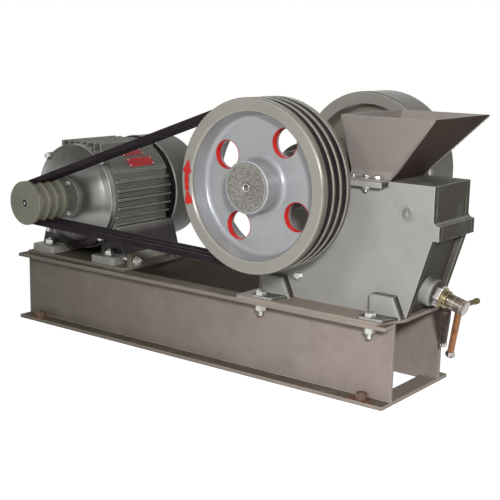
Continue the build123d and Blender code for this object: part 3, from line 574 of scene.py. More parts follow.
# %% Rubber
WEAVE_SCALE = 900.0
RUBBER_RELIEF = 0.0003
tree, spots = new_material("belt_rubber")
where = spots["Object"]
dust = spread(tree, noise(tree, where, DUST_NOISE, 5.0, 0.6), 0.45, 0.8)
weave = add_node(tree, "TexVoronoi", Scale=WEAVE_SCALE, Vector=where)
dusted = maths(tree, "MAXIMUM", multiply(tree, dust, 0.5), worn_edges(tree, dust, 0.5))
close_material(tree, mix_colour(tree, dusted, paint(26, 18, 23), paint(62, 50, 55)), 0.68,
               weave.outputs["Distance"], 0.3, RUBBER_RELIEF, EDGE_ROUND,
               Specular_IOR_Level=0.18)
print("finishes:", len(finish))

# %% [markdown]
# ## Finishes on the CAD nodes
#
# A CAD node keeps its mesh and only gets a better finish. Names that share a
# finish are listed together, and a check stops the script if a node was
# forgotten, which would leave it in the packer's plain colour.

# %% Dress the CAD nodes
finishes = {
    "casting_grey": "side_plate_near side_plate_far rear_wall top_cover front_wall "
                    "hopper_seat bearing_housing_near bearing_housing_far",
    "base_grey": "beam_near beam_far rear_floor_strip motor_plate",
    "foot_grey": "foot_plate front_floor_strip",
    "wheel_silver": "flywheel_near",
    # The far wheel's finish is a darker copy of the near one's: painted shade.
    "far_wheel_shaded": "flywheel_far",
    "motor_grey": "motor_frame terminal_box bearing_cap",
    "foot_iron": "motor_foot_front motor_foot_rear",
    "cowl_grey": "fan_cowl",
    "shield_grey": "drive_end_shield",
    "pulley_olive": "motor_pulley",
    "hopper_grey": "hopper_near hopper_far hopper_rear",
    # The front plate's darker finish is painted shade.
    "hopper_front_shaded": "hopper_front",
    "belt_rubber": "drive_belt_1 drive_belt_2 drive_belt_3",
    "turned_steel": "eccentric_shaft motor_shaft jaw_pivot_pin adjusting_screw "
                    "toggle_plate",
    "chromed": "lock_nut",
    "browned_bar": "long_bar",
    "olive_bar": "short_bar",
    "dark_handle": "lock_lever",
    "jaw_iron": "swing_jaw swing_jaw_liner front_jaw front_jaw_liner cheek_liner_near "
                "cheek_liner_far",
}
dressed = {name: kind for kind, names in finishes.items() for name in names.split()}
assert set(dressed) == set(nodes), set(nodes) - set(dressed)
for name, kind in dressed.items():
    for slot in nodes[name].material_slots:
        slot.material = finish[kind]
print("dressed", len(dressed), "nodes")

# %% [markdown]
# ## Fasteners
#
# This machine is held together by plain hexagon bolts, so one set of helpers
# makes them all: a hexagon whose top corners a turning tool took off, a
# washer, and a thread. A thread made as a stack of ridges reads the same as a
# helix at this size and stays a clean closed surface. Shapes are given in
# millimetres, as on a maker's drawing, and each helper takes a matrix that puts
# its Z axis where the bolt points.


# %% Modelling helpers
def place(origin, along=(0, 0, 1), spin=0.0):
    """A matrix that moves the origin to a place and turns Z along a direction."""
    aim = Vector((0, 0, 1)).rotation_difference(Vector(along)).to_matrix().to_4x4()
    return Matrix.Translation(Vector(origin)) @ aim @ Matrix.Rotation(spin, 4, "Z")


def round_axis(axis, radius, angle, y):
    """A place at a radius and angle round an axis that runs along Y."""
    return (axis.x + radius * MM * cos(angle), y, axis.z + radius * MM * sin(angle))


def add_shape(bm, shape, matrix):
    """Move a finished shape to its place and add it to a piece."""
    bmesh.ops.remove_doubles(shape, verts=shape.verts, dist=1e-7)
    bmesh.ops.recalc_face_normals(shape, faces=shape.faces)
    shape.transform(matrix)
    mesh = bpy.data.meshes.new("shape")
    shape.to_mesh(mesh)
    shape.free()
    bm.from_mesh(mesh)
    bpy.data.meshes.remove(mesh)


def bevel_edges(bm, edges, offset, segments):
    """Round or chamfer some edges."""
    bmesh.ops.bevel(bm, geom=edges, offset=offset * MM, segments=segments, profile=0.5,
                    affect="EDGES", material=-1)


def lathe(bm, matrix, steps, *profile):
    """Spin a closed or pole-to-pole profile of (radius, height) about Z."""
    shape = bmesh.new()
    points = [shape.verts.new((radius * MM, 0, height * MM)) for radius, height in profile]
    lines = [shape.edges.new(pair) for pair in zip(points, points[1:])]
    bmesh.ops.spin(shape, geom=points + lines, cent=(0, 0, 0), axis=(0, 0, 1),
                   angle=2 * pi, steps=steps, use_merge=True)
    add_shape(bm, shape, matrix)


def hexagon(bm, across, height, matrix, corner=0.6):
    """A hexagon prism with its outer corners taken off."""
    shape = bmesh.new()
    radius = across * MM / 2 / cos(pi / 6)
    middle_height = height * MM / 2
    bmesh.ops.create_cone(shape, cap_ends=True, segments=6, depth=height * MM,
                          radius1=radius, radius2=radius,
                          matrix=Matrix.Translation((0, 0, middle_height)))
    top = [edge for edge in shape.edges if all(v.co.z > middle_height for v in edge.verts)]
    bevel_edges(shape, top, corner, 2)
    add_shape(bm, shape, matrix)


def block(bm, size, centre, matrix, edge=0.0):
    """A block with rounded edges, centred on a point of the matrix's frame."""
    shape = bmesh.new()
    bmesh.ops.create_cube(shape, size=MM)
    bmesh.ops.scale(shape, vec=size, verts=shape.verts)
    bmesh.ops.translate(shape, vec=Vector(centre) * MM, verts=shape.verts)
    if edge:
        bevel_edges(shape, shape.edges[:], edge, 3)
    add_shape(bm, shape, matrix)


def washer(bm, radius, bore, thickness, matrix):
    """A flat washer with a rolled outer edge."""
    roll = thickness * 0.3
    lathe(bm, matrix, 32, (bore, 0), (radius - roll, 0), (radius, roll),
          (radius, thickness - roll), (radius - roll, thickness), (bore, thickness),
          (bore, 0))


def thread(bm, radius, pitch, length, matrix, steps=20):
    """A threaded rod from the origin, with a chamfered tip."""
    depth = pitch * 0.55
    profile = [(0, 0), (radius - depth, 0)]
    turns = max(2, int(length / pitch))
    for turn_index in range(turns):
        base = turn_index * pitch
        profile += [(radius, base + pitch * 0.42), (radius, base + pitch * 0.58),
                    (radius - depth, base + pitch)]
    tip = turns * pitch + depth * 0.5
    profile += [(radius - depth * 1.6, tip), (0, tip)]
    lathe(bm, matrix, steps, *profile)


def fixing(bm, spot, along, ring, nut, rod=None, spin=0.0, corner=0.6):
    """A washer (radius, bore, thickness), a hexagon (across, height) on it and, where
    one is given, a rod (radius, pitch, length) through the hexagon."""
    washer(bm, *ring, place(spot, along))
    on_washer = [start + step * ring[2] * MM for start, step in zip(spot, along)]
    hexagon(bm, *nut, place(on_washer, along, spin), corner)
    if rod:
        thread(bm, *rod, place(on_washer, along))


def strip(rows, thickness):
    """A sheet through rows of two points each, bent as they lie."""
    bm = bmesh.new()
    rows = [[bm.verts.new(point) for point in row] for row in rows]
    for first, second in zip(rows, rows[1:]):
        bm.faces.new((first[0], first[1], second[1], second[0]))
    bmesh.ops.recalc_face_normals(bm, faces=bm.faces)
    bmesh.ops.solidify(bm, geom=bm.faces[:], thickness=thickness * MM)
    return bm


def finish_piece(bm, name, body, kind):
    """Turn a bmesh into a finished piece that rides on a body."""
    bmesh.ops.recalc_face_normals(bm, faces=bm.faces)
    piece = add_mesh(bm, name, finish[kind])
    piece.data.shade_smooth()
    piece.data.set_sharp_from_angle(angle=SHARP_ANGLE)
    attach(piece, body)
    print(name, len(piece.data.polygons), "faces")
    return piece


def finish_bolts(bm, name):
    """Finish a piece of zinc plated fasteners on the machine."""
    finish_piece(bm, name, "machine", "zinc_bolt")


def turned_piece(name, body, slot, kind, matrix, steps, *profile):
    """A piece that is a single turned shape."""
    bm = bmesh.new()
    lathe(bm, matrix, steps, *profile)
    return finish_piece(bm, name, body, kind)


SHARP_ANGLE = radians(34)
DOWN, UP, NEAR, FAR, FRONT = (0, 0, -1), (0, 0, 1), (0, -1, 0), (0, 1, 0), (1, 0, 0)
SIDES = {"near": -1, "far": 1}

# %% Foot bolts of the crusher body
FOOT_BOLT_X = (0.165, 0.3625)
FOOT_BOLT_Y = 0.0905
FOOT_PAD = 4 * MM
FLANGE_THICKNESS = 6 * MM
M10_HEAD, M10_NUT, M10_WASHER = (16, 6.4), (16, 8), (10, 5, 2)
FOOT_STUD = (5, 1.5, 17)
bm = bmesh.new()
for x in FOOT_BOLT_X:
    for side in (-1, 1):
        spin = radians(20 + 34 * side + 300 * x)
        y = side * FOOT_BOLT_Y
        hexagon(bm, *M10_HEAD, place((x, y, foot_top + FOOT_PAD), UP, spin))
        fixing(bm, (x, y, foot_low.z - FLANGE_THICKNESS), DOWN, M10_WASHER, M10_NUT,
               FOOT_STUD, spin * 1.7)
finish_bolts(bm, "foot_bolts")

# %% Bolts of the motor feet
MOTOR_BOLT_X = 0.077
MOTOR_BOLT_Y = 0.0635
MOTOR_PAD = 13 * MM
bm = bmesh.new()
for x in (motor_axis.x - MOTOR_BOLT_X, motor_axis.x + MOTOR_BOLT_X):
    for y in (-MOTOR_BOLT_Y, MOTOR_BOLT_Y):
        fixing(bm, (x, y, foot_top + MOTOR_PAD), UP, M10_WASHER, M10_HEAD, (4, 1.5, 9),
               x * 40 + y * 9)
finish_bolts(bm, "motor_foot_bolts")

# %% [markdown]
# The belts are tightened by a long bolt that pushes the motor's foot. It runs
# along the plate from its lug, with a lock nut on the lug's front.

# %% Tension bolts
LUG_Y = 56 * MM
M8_NUT, M8_WASHER = (13, 6.5), (8.5, 4, 1.6)
TENSION_HEIGHT = 8 * MM
TENSION_STUD = 14
lug_x = node_box("motor_plate")[1].x
foot_front_x = node_box("motor_foot_front")[1].x
bm = bmesh.new()
for y in (-LUG_Y, LUG_Y):
    z = foot_top + TENSION_HEIGHT
    thread(bm, 4, 1.25, (lug_x - foot_front_x) / MM + TENSION_STUD,
           place((foot_front_x, y, z), FRONT))
    fixing(bm, (lug_x, y, z), FRONT, M8_WASHER, M8_NUT, spin=0.3)
finish_piece(bm, "tension_bolts", "machine", "turned_steel")

# %% [markdown]
# ## Anchor bolts and their rust
#
# The holding-down nuts stand where water lies, so they are rusty and have bled
# a thin brown stain over the flange. The stain is a very thin disc with an
# uneven edge, since a mask in the beam's paint could not follow each nut.

# %% Anchor nuts and stains
beam_low, beam_high = node_box("beam_near")
ANCHOR_INSET = 42 * MM
STAIN_RADIUS = 17 * MM
STAIN_CUT = 0.7
bm = bmesh.new()
stains = bmesh.new()
for x in (beam_low.x + ANCHOR_INSET, beam_high.x - ANCHOR_INSET):
    for side in (-1, 1):
        y = side * FOOT_BOLT_Y
        fixing(bm, (x, y, FLANGE_THICKNESS), UP, (9.5, 5, 2), M10_NUT, (5, 1.5, 10),
               x + side, 1.0)
        made = bmesh.ops.create_circle(stains, cap_ends=True, segments=40, radius=1.0)
        for vert in made["verts"]:
            angle = 2.2 * side + 5 * x
            bearing = Vector((1, 0)).angle_signed(vert.co.xy)
            swell = 1 + 0.16 * sin(3 * bearing + angle) + 0.09 * sin(7 * bearing - angle)
            reach = min(STAIN_RADIUS * swell, STAIN_RADIUS * 1.2)
            vert.co = Vector((x + vert.co.x * reach,
                              y + max(-STAIN_CUT, min(STAIN_CUT, vert.co.y)) * reach,
                              FLANGE_THICKNESS + 0.15 * MM))
finish_piece(bm, "anchor_nuts", "machine", "rusted_nut")
bmesh.ops.solidify(stains, geom=stains.faces[:], thickness=0.1 * MM)
finish_piece(stains, "anchor_stains", "machine", "rust_stain")

# %% [markdown]
# ## Hopper fixings
#
# The hopper's own foot flange lies on the seat, bolted through it on both
# sides, with the stud ends showing below.

# %% Hopper foot flanges and bolts
seat_low, seat_high = node_box("hopper_seat")
hopper_low, hopper_high = node_box("hopper_near")
mouth_front = node_box("hopper_front")[0].x + 4 * MM
FLANGE_SHEET = 3 * MM
HOPPER_FOOT_Y = 54 * MM
HOPPER_BOLT_X = (0.309, 0.331, 0.350)
M6_HEAD, M6_NUT, M6_WASHER = (10, 4), (10, 5), (7, 3, 1.4)
bm = bmesh.new()
for side in (-1, 1):
    outer = side * (seat_high.y - 2 * MM)
    inner = side * HOPPER_FOOT_Y
    corners = [(hopper_low.x, inner), (mouth_front, inner),
               (mouth_front - 6 * MM, outer), (hopper_low.x, outer)]
    face = bm.faces.new([bm.verts.new((x, y, seat_high.z)) for x, y in corners])
    made = bmesh.ops.extrude_face_region(bm, geom=[face])
    lifted = [v for v in made["geom"] if isinstance(v, bmesh.types.BMVert)]
    bmesh.ops.translate(bm, verts=lifted, vec=(0, 0, FLANGE_SHEET))
bevel_edges(bm, [e for e in bm.edges if abs(e.verts[0].co.z - e.verts[1].co.z) > MM], 4, 4)
finish_piece(bm, "hopper_foot_flanges", "machine", "hopper_grey")

bm = bmesh.new()
for side in (-1, 1):
    y = side * (seat_high.y - 11 * MM)
    for x in HOPPER_BOLT_X:
        fixing(bm, (x, y, seat_high.z + FLANGE_SHEET), UP, M6_WASHER, M6_HEAD,
               spin=90 * x)
    stud = place((HOPPER_BOLT_X[1], y, seat_low.z), DOWN)
    hexagon(bm, *M6_NUT, stud)
    thread(bm, 3, 1, 9, stud)
thread(bm, 3, 1, 16, place((mouth_front + 5 * MM, seat_high.y - 18 * MM, seat_high.z)))
finish_bolts(bm, "hopper_bolts")

# %% [markdown]
# ## Red touches on the flywheels
#
# Someone brushed red enamel inside each lightening hole, so a turning wheel
# shows its turning. It covers the hole's wall for most of its depth and just
# laps over the corner. A thin sleeve with a small lip, a hair proud of the
# casting, does it.

# %% Painted hole rings
HOLE_CIRCLE = 75
HOLE_ANGLES = {"near": 58.0, "far": 26.0}
DISH = 30 * MM
HUB_STAND_OUT = 6 * MM
RING_PROFILE = ((21, -0.35), (21.5, -0.35), (21.9, 0.1), (21.2, 0.2), (21.1, 10),
                (20.65, 9.6), (20.65, 0.8), (21, -0.35))
hub_y = {name: node_box(f"flywheel_{name}")[name == "far"].y for name in SIDES}
for name, side in SIDES.items():
    bm = bmesh.new()
    for quarter in range(4):
        angle = radians(HOLE_ANGLES[name] + 90 * quarter)
        centre = round_axis(wheel_axis, HOLE_CIRCLE, angle,
                            hub_y[name] - side * HUB_STAND_OUT - side * DISH)
        lathe(bm, place(centre, (0, -side, 0)), 56, *RING_PROFILE)
    finish_piece(bm, f"red_rings_{name}", "flywheel_shaft", "red_touch")

# %% [markdown]
# The turning arrow on the rim follows the rim's curve and was brushed by hand:
# a head at its upper end, a shaft whose width wavers and a second head as its
# tail. It is one strip of short straight stretches, whose half width is looked
# up in a short table and then a little disturbed, as thick as a coat of paint.

# %% Rim arrow
RIM_MIDDLE = 116.5
ARROW_HEAD, ARROW_TAIL = radians(165.0), radians(198.0)
ARROW_STEPS = 44
ARROW_WIDTHS = ((0.0, 0.6), (0.26, 8.0), (0.31, 4.2), (0.66, 3.9), (0.70, 1.6), (0.95, 8.2),
                (1.0, 5.4))
PAINT_LIFT = 0.25 * MM


def arrow_half_width(share):
    """Half the arrow's width at a share of its length, between the table's rows."""
    for (start, first), (stop, second) in zip(ARROW_WIDTHS, ARROW_WIDTHS[1:]):
        if share <= stop:
            return first + (second - first) * (share - start) / (stop - start)


rows = []
for step in range(ARROW_STEPS + 1):
    share = step / ARROW_STEPS
    angle = ARROW_HEAD + (ARROW_TAIL - ARROW_HEAD) * share
    half = arrow_half_width(share) * (1 + 0.10 * sin(31 * share) + 0.06 * sin(67 * share))
    rows.append([round_axis(wheel_axis, RIM_MIDDLE + side * half, angle,
                            hub_y["near"] + HUB_STAND_OUT - PAINT_LIFT)
                 for side in (-1, 1)])
finish_piece(strip(rows, 0.2), "rim_arrow", "flywheel_shaft", "red_touch")

# %% [markdown]
# A hub is faced on a lathe in two cuts, which leaves a low step on its rough
# face, and the centre drill leaves a countersink in the middle. A sleeve brings
# the hub to the width that the photograph shows.

# %% Hub faces
# The far hub gets the far wheel's darker copy of the paint: painted shade.
for (name, side), kind in zip(SIDES.items(), ("wheel_silver", "far_wheel_shaded")):
    spot = place((wheel_axis.x, hub_y[name], wheel_axis.z), (0, side, 0))
    bm = bmesh.new()
    lathe(bm, spot, 72, (7.4, 0), (34.6, 0), (34.6, 0.6), (34, 1.1), (8.6, 1.1), (7.4, 0.4),
          (7.4, 0))
    lathe(bm, spot, 72, (35.4, -22), (38.6, -22), (38.6, -1.2), (37.6, 0.1), (36.4, 0.4),
          (35.4, 0.2), (35.4, -22))
    finish_piece(bm, f"hub_face_{name}", "flywheel_shaft", kind)
    turned_piece(f"hub_centre_{name}", "flywheel_shaft", "bare_steel", "turned_steel", spot,
                 36, (4, 0), (6.6, 0), (6.2, 1.1), (5, 1.3), (4, 0.5), (4, 0))

# %% [markdown]
# The motor pulley's front disc shows the shaft end in its bore: a dark ring of
# painted shade for the clearance, the shaft's own end and its centre mark.

# %% Pulley bore
bore = place((motor_axis.x, node_box("motor_pulley")[0].y, motor_axis.z), NEAR)
turned_piece("pulley_bore_ring", "motor_rotor", "motor_paint", "pulley_olive", bore, 40,
             (6.4, 0), (9.6, 0), (9.2, 0.9), (7, 1.1), (6.4, 0.6), (6.4, 0))
# A near-black disc in the bore is painted shade for the clearance round the shaft.
turned_piece("pulley_bore", "motor_rotor", "motor_paint", "dark_recess", bore, 32,
             (0, 0.1), (6.3, 0.1), (6.3, 0.4), (2.4, 0.5), (0, 0.5))
turned_piece("pulley_centre", "motor_rotor", "bare_steel", "turned_steel", bore, 20,
             (0, 0.4), (2.3, 0.4), (2.1, 1.3), (0, 1.5))

# %% [markdown]
# ## The motor
#
# The CAD barrel has its fins. What it lacks are the small bright things that
# say electric motor: screws round the bearing cap, bolts in the shield's ears,
# a rating plate without a word on it, the fan cowl's rolled lip and its grille.

# %% Motor screws
EAR_CIRCLE, CAP_CIRCLE = 96, 30
EAR_Y = -74 * MM
bm = bmesh.new()
for quarter in range(4):
    angle = radians(45 + 90 * quarter)
    fixing(bm, round_axis(motor_axis, EAR_CIRCLE, angle, EAR_Y), NEAR, (6, 3, 1), M6_HEAD,
           spin=angle)
for third in range(3):
    angle = radians(62 + 120 * third)
    spot = round_axis(motor_axis, CAP_CIRCLE, angle, node_box("bearing_cap")[0].y)
    hexagon(bm, 8, 3.5, place(spot, NEAR, angle))
finish_bolts(bm, "motor_screws")

# %% [markdown]
# Two rating plates follow the barrel between the side fins and the top fins.
# They are left blank: only their red ground, worn to metal along the edges, and
# rivets. A curved sheet is a strip bent round the barrel's axis.

# %% Blank rating plates
PLATE_LIFT = 0.8
PLATE_STEPS = 8
RATING_PLATES = (("lower_plate", (34.0, 45.0), (-12, 52), "plate_red"),
                 ("upper_plate", (48.0, 58.0), (-14, 40), "plate_dark"))
RIVET_PROFILE = ((0, 0), (1.5, 0), (1.3, 0.6), (0.7, 0.9), (0, 1))
plate_radius = motor_radius / MM + PLATE_LIFT
rivets = bmesh.new()
for name, (low, high), (front, rear), kind in RATING_PLATES:
    rows = [[round_axis(motor_axis, plate_radius,
                        radians(low + (high - low) * step / PLATE_STEPS), y * MM)
             for y in (front, rear)] for step in range(PLATE_STEPS + 1)]
    finish_piece(strip(rows, PLATE_LIFT), name, "machine", kind)
    for angle in (radians(low + 2), radians(high - 2)):
        for y in (front + 3, rear - 3):
            spot = round_axis(motor_axis, plate_radius, angle, y * MM)
            lathe(rivets, place(spot, (cos(angle), 0, sin(angle))), 12, *RIVET_PROFILE)
finish_bolts(rivets, "plate_rivets")

# %% [markdown]
# The fan cowl is a pressed sheet: its open end is rolled over into a bright
# lip, and its closed end is pierced by rings of slots, here bars between
# concentric rings. The CAD solid closes it, so the shell replaces that node, and
# a fan stands behind the grille. A near-black disc just inside the open end is
# painted shade.

# %% Fan cowl
SHEET, LIP, ROUND = 2, 1.6, 8
GRILLE_EDGE, GRILLE_RINGS, RING_HALF = 84, (20, 34, 48, 62, 76), 2.6
cowl_low, cowl_high = node_box("fan_cowl")
radius = (cowl_high.x - cowl_low.x) / 2 / MM
length = (cowl_high.y - cowl_low.y) / MM
along_y = place((motor_axis.x, cowl_low.y, motor_axis.z), FAR)


def cowl_round(size, angles):
    """Points on the cowl's rounded rear edge, for its outer or inner size."""
    return [(radius - ROUND + size * sin(radians(angle)),
             length - ROUND + size * cos(radians(angle))) for angle in angles]


bm = bmesh.new()
lathe(bm, along_y, 96, (radius - SHEET, 0), (radius - SHEET / 2, -0.4), (radius, 0),
      *cowl_round(ROUND, range(90, -1, -15)), (GRILLE_EDGE, length),
      (GRILLE_EDGE, length - SHEET), *cowl_round(ROUND - SHEET, range(0, 91, 15)),
      (radius - SHEET, 0))
for ring in GRILLE_RINGS:
    inner, outer, low = ring - RING_HALF, ring + RING_HALF, length - SHEET
    lathe(bm, along_y, 72, (inner, low), (outer, low), (outer, length - 0.5),
          (ring, length), (inner, length - 0.5), (inner, low))
for bar in range(8):
    block(bm, (GRILLE_EDGE - 16, 5, SHEET * 0.8),
          ((GRILLE_EDGE + 20) / 2, 0, length - SHEET * 0.9),
          along_y @ Matrix.Rotation(radians(45 * bar + 10), 4, "Z"))
cowl = finish_piece(bm, "fan_cowl_shell", "machine", "cowl_grey")
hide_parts("fan_cowl")
# A near-black disc just inside the cowl's open end: painted shade.
turned_piece("cowl_recess", "machine", "motor_paint", "dark_recess", along_y, 64,
             (0, 1), (radius - 3, 1), (radius - 3, 3), (0, 3))

# %% Fan and cowl lip
FAN_BLADES = 7
bm = bmesh.new()
lathe(bm, along_y, 32, (0, 34), (24, 34), (24, 56), (0, 56))
for blade in range(FAN_BLADES):
    block(bm, (60, 3, 26), (52, 0, 44),
          along_y @ Matrix.Rotation(2 * pi * blade / FAN_BLADES, 4, "Z"), 0.8)
finish_piece(bm, "cooling_fan", "motor_rotor", "dark_recess")
turned_piece("cowl_lip", "machine", "motor_paint", "shield_grey", along_y, 96,
             (radius - LIP, -LIP), (radius - LIP * 0.3, -LIP * 1.3),
             (radius + LIP * 0.4, -LIP * 0.7), (radius + LIP * 0.4, LIP * 0.6),
             (radius - LIP * 0.4, LIP), (radius - LIP, LIP * 0.4), (radius - LIP, -LIP))

# %% [markdown]
# ## Marks on the body's near side
#
# The casting carries a few small things: the pivot pin's end inside a raised
# ring, and a screw low behind the wheel. Both are the same on the far side.

# %% Pivot rings and small screws
pivot_axis = middle("jaw_pivot_pin")
SIDE_SCREW_X, SIDE_SCREW_Z = 0.211, 0.166
bm = bmesh.new()
screws = bmesh.new()
for side in (-1, 1):
    y, outward = side * body_side, (0, side, 0)
    spot = place((pivot_axis.x, y, pivot_axis.z), outward)
    lathe(bm, spot, 40, (9.2, 0), (12.5, 0), (11.8, 0.9), (10.6, 1.2), (9.4, 0.9), (9.2, 0))
    lathe(bm, spot, 20, (0, 0.4), (3.2, 0.4), (3.2, 1.3), (1.6, 1.7), (0, 1.7))
    fixing(screws, (SIDE_SCREW_X, y, SIDE_SCREW_Z), outward, (7.5, 3, 1.2), (11, 5),
           spin=0.4)
finish_piece(bm, "pivot_rings", "machine", "casting_grey")
finish_bolts(screws, "side_screws")

# %% [markdown]
# ## Adjusting gear
#
# At the foot of the slope the screw comes out of its boss, square to the
# slope: a chromed lock nut with flats, a brass coloured collar, then the
# capstan head with turned rings and two bars through it. All of it leans with
# the screw, so places are measured along the screw's own axis, which the joint
# gives, and not along the room's.

# %% Measures along the screw
screw_joint = next(j for j in frame["joints"] if j["name"] == "screw_turn")
screw_place = Vector(screw_joint["pos_m"])
screw_line = Vector(screw_joint["axis"]).normalized()


def along_screw(name):
    """How far a node reaches along the screw, measured from the screw's joint."""
    reach = [(vert.co - screw_place).dot(screw_line) for vert in nodes[name].data.vertices]
    return min(reach), max(reach)


def bar_end(name, start=None):
    """A matrix with Z out along a bar, on its outer end or at a start from the screw,
    and the end's own distance from the screw, both in millimetres."""
    points = [vert.co - screw_place for vert in nodes[name].data.vertices]
    centre = sum(points, Vector()) / len(points)
    out = (centre - screw_line * centre.dot(screw_line)).normalized()
    far = max(point.dot(out) for point in points)
    tips = [point for point in points if point.dot(out) > far - 0.4 * MM]
    tip = sum(tips, Vector()) / len(tips)
    reach = tip.dot(out) / MM
    back = 0.0 if start is None else reach - start
    return place(screw_place + tip - out * back * MM, out), reach


def on_screw(distance):
    """A matrix whose origin lies on the screw, with Z along it."""
    return place(screw_place + screw_line * distance, screw_line)


nut_rear, nut_front = along_screw("lock_nut")
screw_front = along_screw("adjusting_screw")[1]
print("nut from", round(nut_rear, 4), "to", round(nut_front, 4))

# %% Lock nut with flats, and its collar
HEX_LENGTH, HEX_ACROSS = 10, 30
collar = (nut_front - nut_rear) / MM - HEX_LENGTH
bm = bmesh.new()
hexagon(bm, HEX_ACROSS, HEX_LENGTH, on_screw(nut_rear), 1.1)
nut = finish_piece(bm, "lock_nut_body", "nut", "chromed")
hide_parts("lock_nut")
turned_piece("nut_collar", "nut", "nut_chrome", "brassy_collar",
             on_screw(nut_rear + HEX_LENGTH * MM), 48,
             (9.4, 0), (15, 0), (16, 0.7), (16, 1.7), (14.8, 2.4), (13.8, 2.7), (13.8, 4.6),
             (13, 5), (13, 5.6), (13.8, 6), (13.8, collar - 0.8), (12.8, collar),
             (9.4, collar), (9.4, 0))

# %% Screw thread and capstan head
CAPSTAN_LENGTH = 27 * MM
capstan_rear = screw_front - CAPSTAN_LENGTH
bm = bmesh.new()
thread(bm, 9.8, 1.1, (capstan_rear - nut_front) / MM - 0.2,
       on_screw(nut_front + 0.1 * MM), steps=36)
finish_piece(bm, "screw_thread", "screw", "brassy_collar")
turned_piece("capstan_shell", "screw", "bare_steel", "head_steel", on_screw(capstan_rear),
             48, (0, 0), (10.4, 0), (11.5, 0.9), (11.5, 7.4), (10.9, 7.9), (10.9, 8.7),
             (11.5, 9.2), (11.5, 21), (10.5, 21.6), (10.5, 22.6), (12.1, 23.2),
             (12.4, 24.6), (12.1, 26.2), (11.2, 26.9), (9.2, 26.9), (8.6, 25.2),
             (3.2, 25), (2.6, 26.2), (0, 26.4))

# %% [markdown]
# The long bar is a browned rod that has been gripped and struck for years. The
# CAD gives its line and length, and a fuller rod with worn shoulders stands for
# it, with a bright peened knob at its end. The short bar gets a small collar.

# %% Bars
ROD_START, ROD_RADIUS = 10, 5.3
rod, reach = bar_end("long_bar", ROD_START)
tip = reach - ROD_START
rod_piece = turned_piece(
    "long_bar_rod", "screw", "bar_steel", "browned_bar", rod, 28,
    (0, 0), (ROD_RADIUS, 0), (ROD_RADIUS, tip * 0.5), (ROD_RADIUS * 0.97, tip * 0.7),
    (ROD_RADIUS, tip - 8), (ROD_RADIUS * 0.8, tip - 6), (0, tip - 6))
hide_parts("long_bar")
turned_piece("long_bar_knob", "screw", "bar_steel", "chromed", rod, 32,
             (0, tip - 8), (5.4, tip - 7.6), (6.6, tip - 5.4), (7.7, tip - 2.6),
             (7.9, tip - 0.4), (7, tip + 0.8), (4.6, tip + 0.2), (0, tip + 0.6))
turned_piece("short_bar_end", "screw", "bar_steel", "olive_bar", bar_end("short_bar")[0],
             28, (0, -9), (4.1, -9), (4.8, -8.6), (4.8, -0.9), (4.4, -0.2), (3.2, 0.7),
             (1.6, 1.2), (0, 1.3))

# %% [markdown]
# The lock nut's lever wears a dark tapered grip, widest near the nut, and ends
# in a bright ball.

# %% Lever grip and ball
GRIP_START, NECK = 22, 6
grip, reach = bar_end("lock_lever", GRIP_START)
tip = reach - GRIP_START - NECK
turned_piece("lever_grip", "nut", "bar_steel", "dark_handle", grip, 36,
             (0, 0), (6.5, 0), (9, 2), (9.4, 6), (8.6, tip * 0.35), (6.4, tip * 0.75),
             (5, tip - 1), (4, tip), (0, tip))
turned_piece("lever_tip", "nut", "bar_steel", "chromed", bar_end("lock_lever")[0], 32,
             (0, -6.5), (3, -6), (5.2, -4), (6.2, -1), (5.8, 1.8), (4.2, 4), (2, 5.2),
             (0, 5.5))

# %% [markdown]
# ## Inside the hopper
#
# Looking down the hopper one sees the jaws, and jaws have teeth: vertical
# ridges that face each other across the chamber. Each is a thin wedge on its
# liner's face, swept from top to bottom by moving its lower end.

# %% Jaw teeth
TOOTH_PITCH = 10 * MM
TOOTH_PROFILE = ((-4, 0), (-1, 3.5), (1, 3.5), (4, 0))
LINER_THICKNESS = 10 * MM
for name, sign in (("front", -1), ("swing", 1)):
    low, high = node_box(f"{name}_jaw_liner")
    top_x = high.x - LINER_THICKNESS if name == "front" else high.x
    bottom_x = low.x if name == "front" else low.x + LINER_THICKNESS
    bm = bmesh.new()
    count = int((high.y - low.y) / TOOTH_PITCH)
    for index in range(count):
        y = low.y + (index + 0.5) * (high.y - low.y) / count
        top, foot = [[bm.verts.new((x + sign * lift * MM, y + offset * MM, z))
                      for offset, lift in TOOTH_PROFILE]
                     for x, z in ((top_x, high.z - 1 * MM), (bottom_x, low.z + 1 * MM))]
        for first, second in zip(range(4), (1, 2, 3, 0)):
            bm.faces.new((top[first], top[second], foot[second], foot[first]))
        bm.faces.new(top)
        bm.faces.new(foot[::-1])
    finish_piece(bm, f"{name}_jaw_teeth", "machine", "jaw_iron")

# %% [markdown]
# ## Welds and edges
#
# The beams are welded to the strips on the floor, and the hopper's plates to
# each other. A weld is a row of overlapping ripples: a chain of flattened
# balls along the seam, joined visually by their overlap.

# %% Weld seams
RIPPLE = 3 * MM


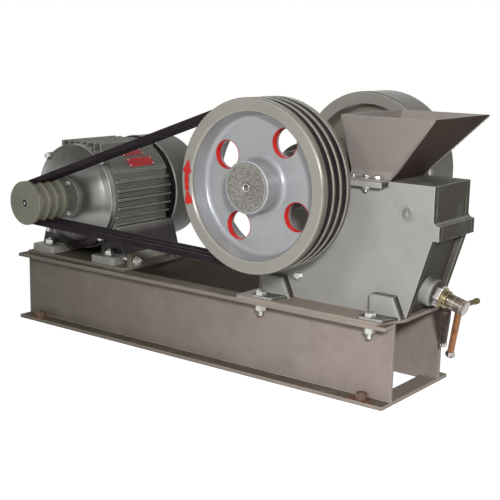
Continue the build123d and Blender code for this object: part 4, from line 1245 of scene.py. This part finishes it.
def weld(bm, start, end, width):
    """Ripples of weld metal along a straight seam."""
    start, run = Vector(start), Vector(end) - Vector(start)
    count = max(2, int(run.length / RIPPLE))
    aim = Vector((1, 0, 0)).rotation_difference(run).to_matrix().to_4x4()
    for index in range(count):
        swell = width * MM * (1 + 0.12 * sin(index * 2.3))
        matrix = (Matrix.Translation(start + run * (index + 0.5) / count) @ aim
                  @ Matrix.Diagonal((RIPPLE * 1.1, swell, swell, 1)))
        bmesh.ops.create_icosphere(bm, subdivisions=1, radius=0.5, matrix=matrix)


bm = bmesh.new()
for name in ("front_floor_strip", "rear_floor_strip"):
    low, high = node_box(name)
    for y in (low.y, high.y):
        weld(bm, (low.x, y, high.z), (high.x, y, high.z), 5)
finish_piece(bm, "base_welds", "machine", "base_grey")

bm = bmesh.new()
rim_x, rim_z = node_box("hopper_front")[1].x - 2 * MM, hopper_high.z - 2 * MM
rear_x = hopper_low.x + 1 * MM
for side in (-1, 1):
    foot_y, rim_y = side * 52 * MM, side * 86 * MM
    weld(bm, (mouth_front - 1 * MM, foot_y, seat_high.z + 1 * MM), (rim_x, rim_y, rim_z), 3)
    weld(bm, (rear_x, foot_y, seat_high.z + 14 * MM), (rear_x, rim_y, rim_z), 3)
finish_piece(bm, "hopper_welds", "machine", "hopper_grey")

# %% [markdown]
# The terminal box sits on the motor's rear side: a lid with a gasket line,
# four screws, and a blank gland, because no lead leaves it here.

# %% Terminal box details
LID_INSET, SCREW_INSET = 2 * MM, 10 * MM
box_low, box_high = node_box("terminal_box")
centre = (box_low + box_high) / 2
bm = bmesh.new()
block(bm, (5, (box_high.y - box_low.y) / MM - 4, (box_high.z - box_low.z) / MM - 4),
      (0, 0, 0), Matrix.Translation((box_low.x - LID_INSET, centre.y, centre.z)), 1.6)
finish_piece(bm, "terminal_lid", "machine", "motor_grey")
bm = bmesh.new()
for y in (box_low.y + SCREW_INSET, box_high.y - SCREW_INSET):
    for z in (box_low.z + SCREW_INSET, box_high.z - SCREW_INSET):
        hexagon(bm, 7, 2.5, place((box_low.x - 4.5 * MM, y, z), (-1, 0, 0), y * 60))
gland = place((centre.x, centre.y, box_low.z), DOWN)
hexagon(bm, 22, 6, gland)
lathe(bm, gland, 32, (0, 6), (9, 6), (9, 14), (7.5, 16), (0, 16))
finish_bolts(bm, "terminal_screws")
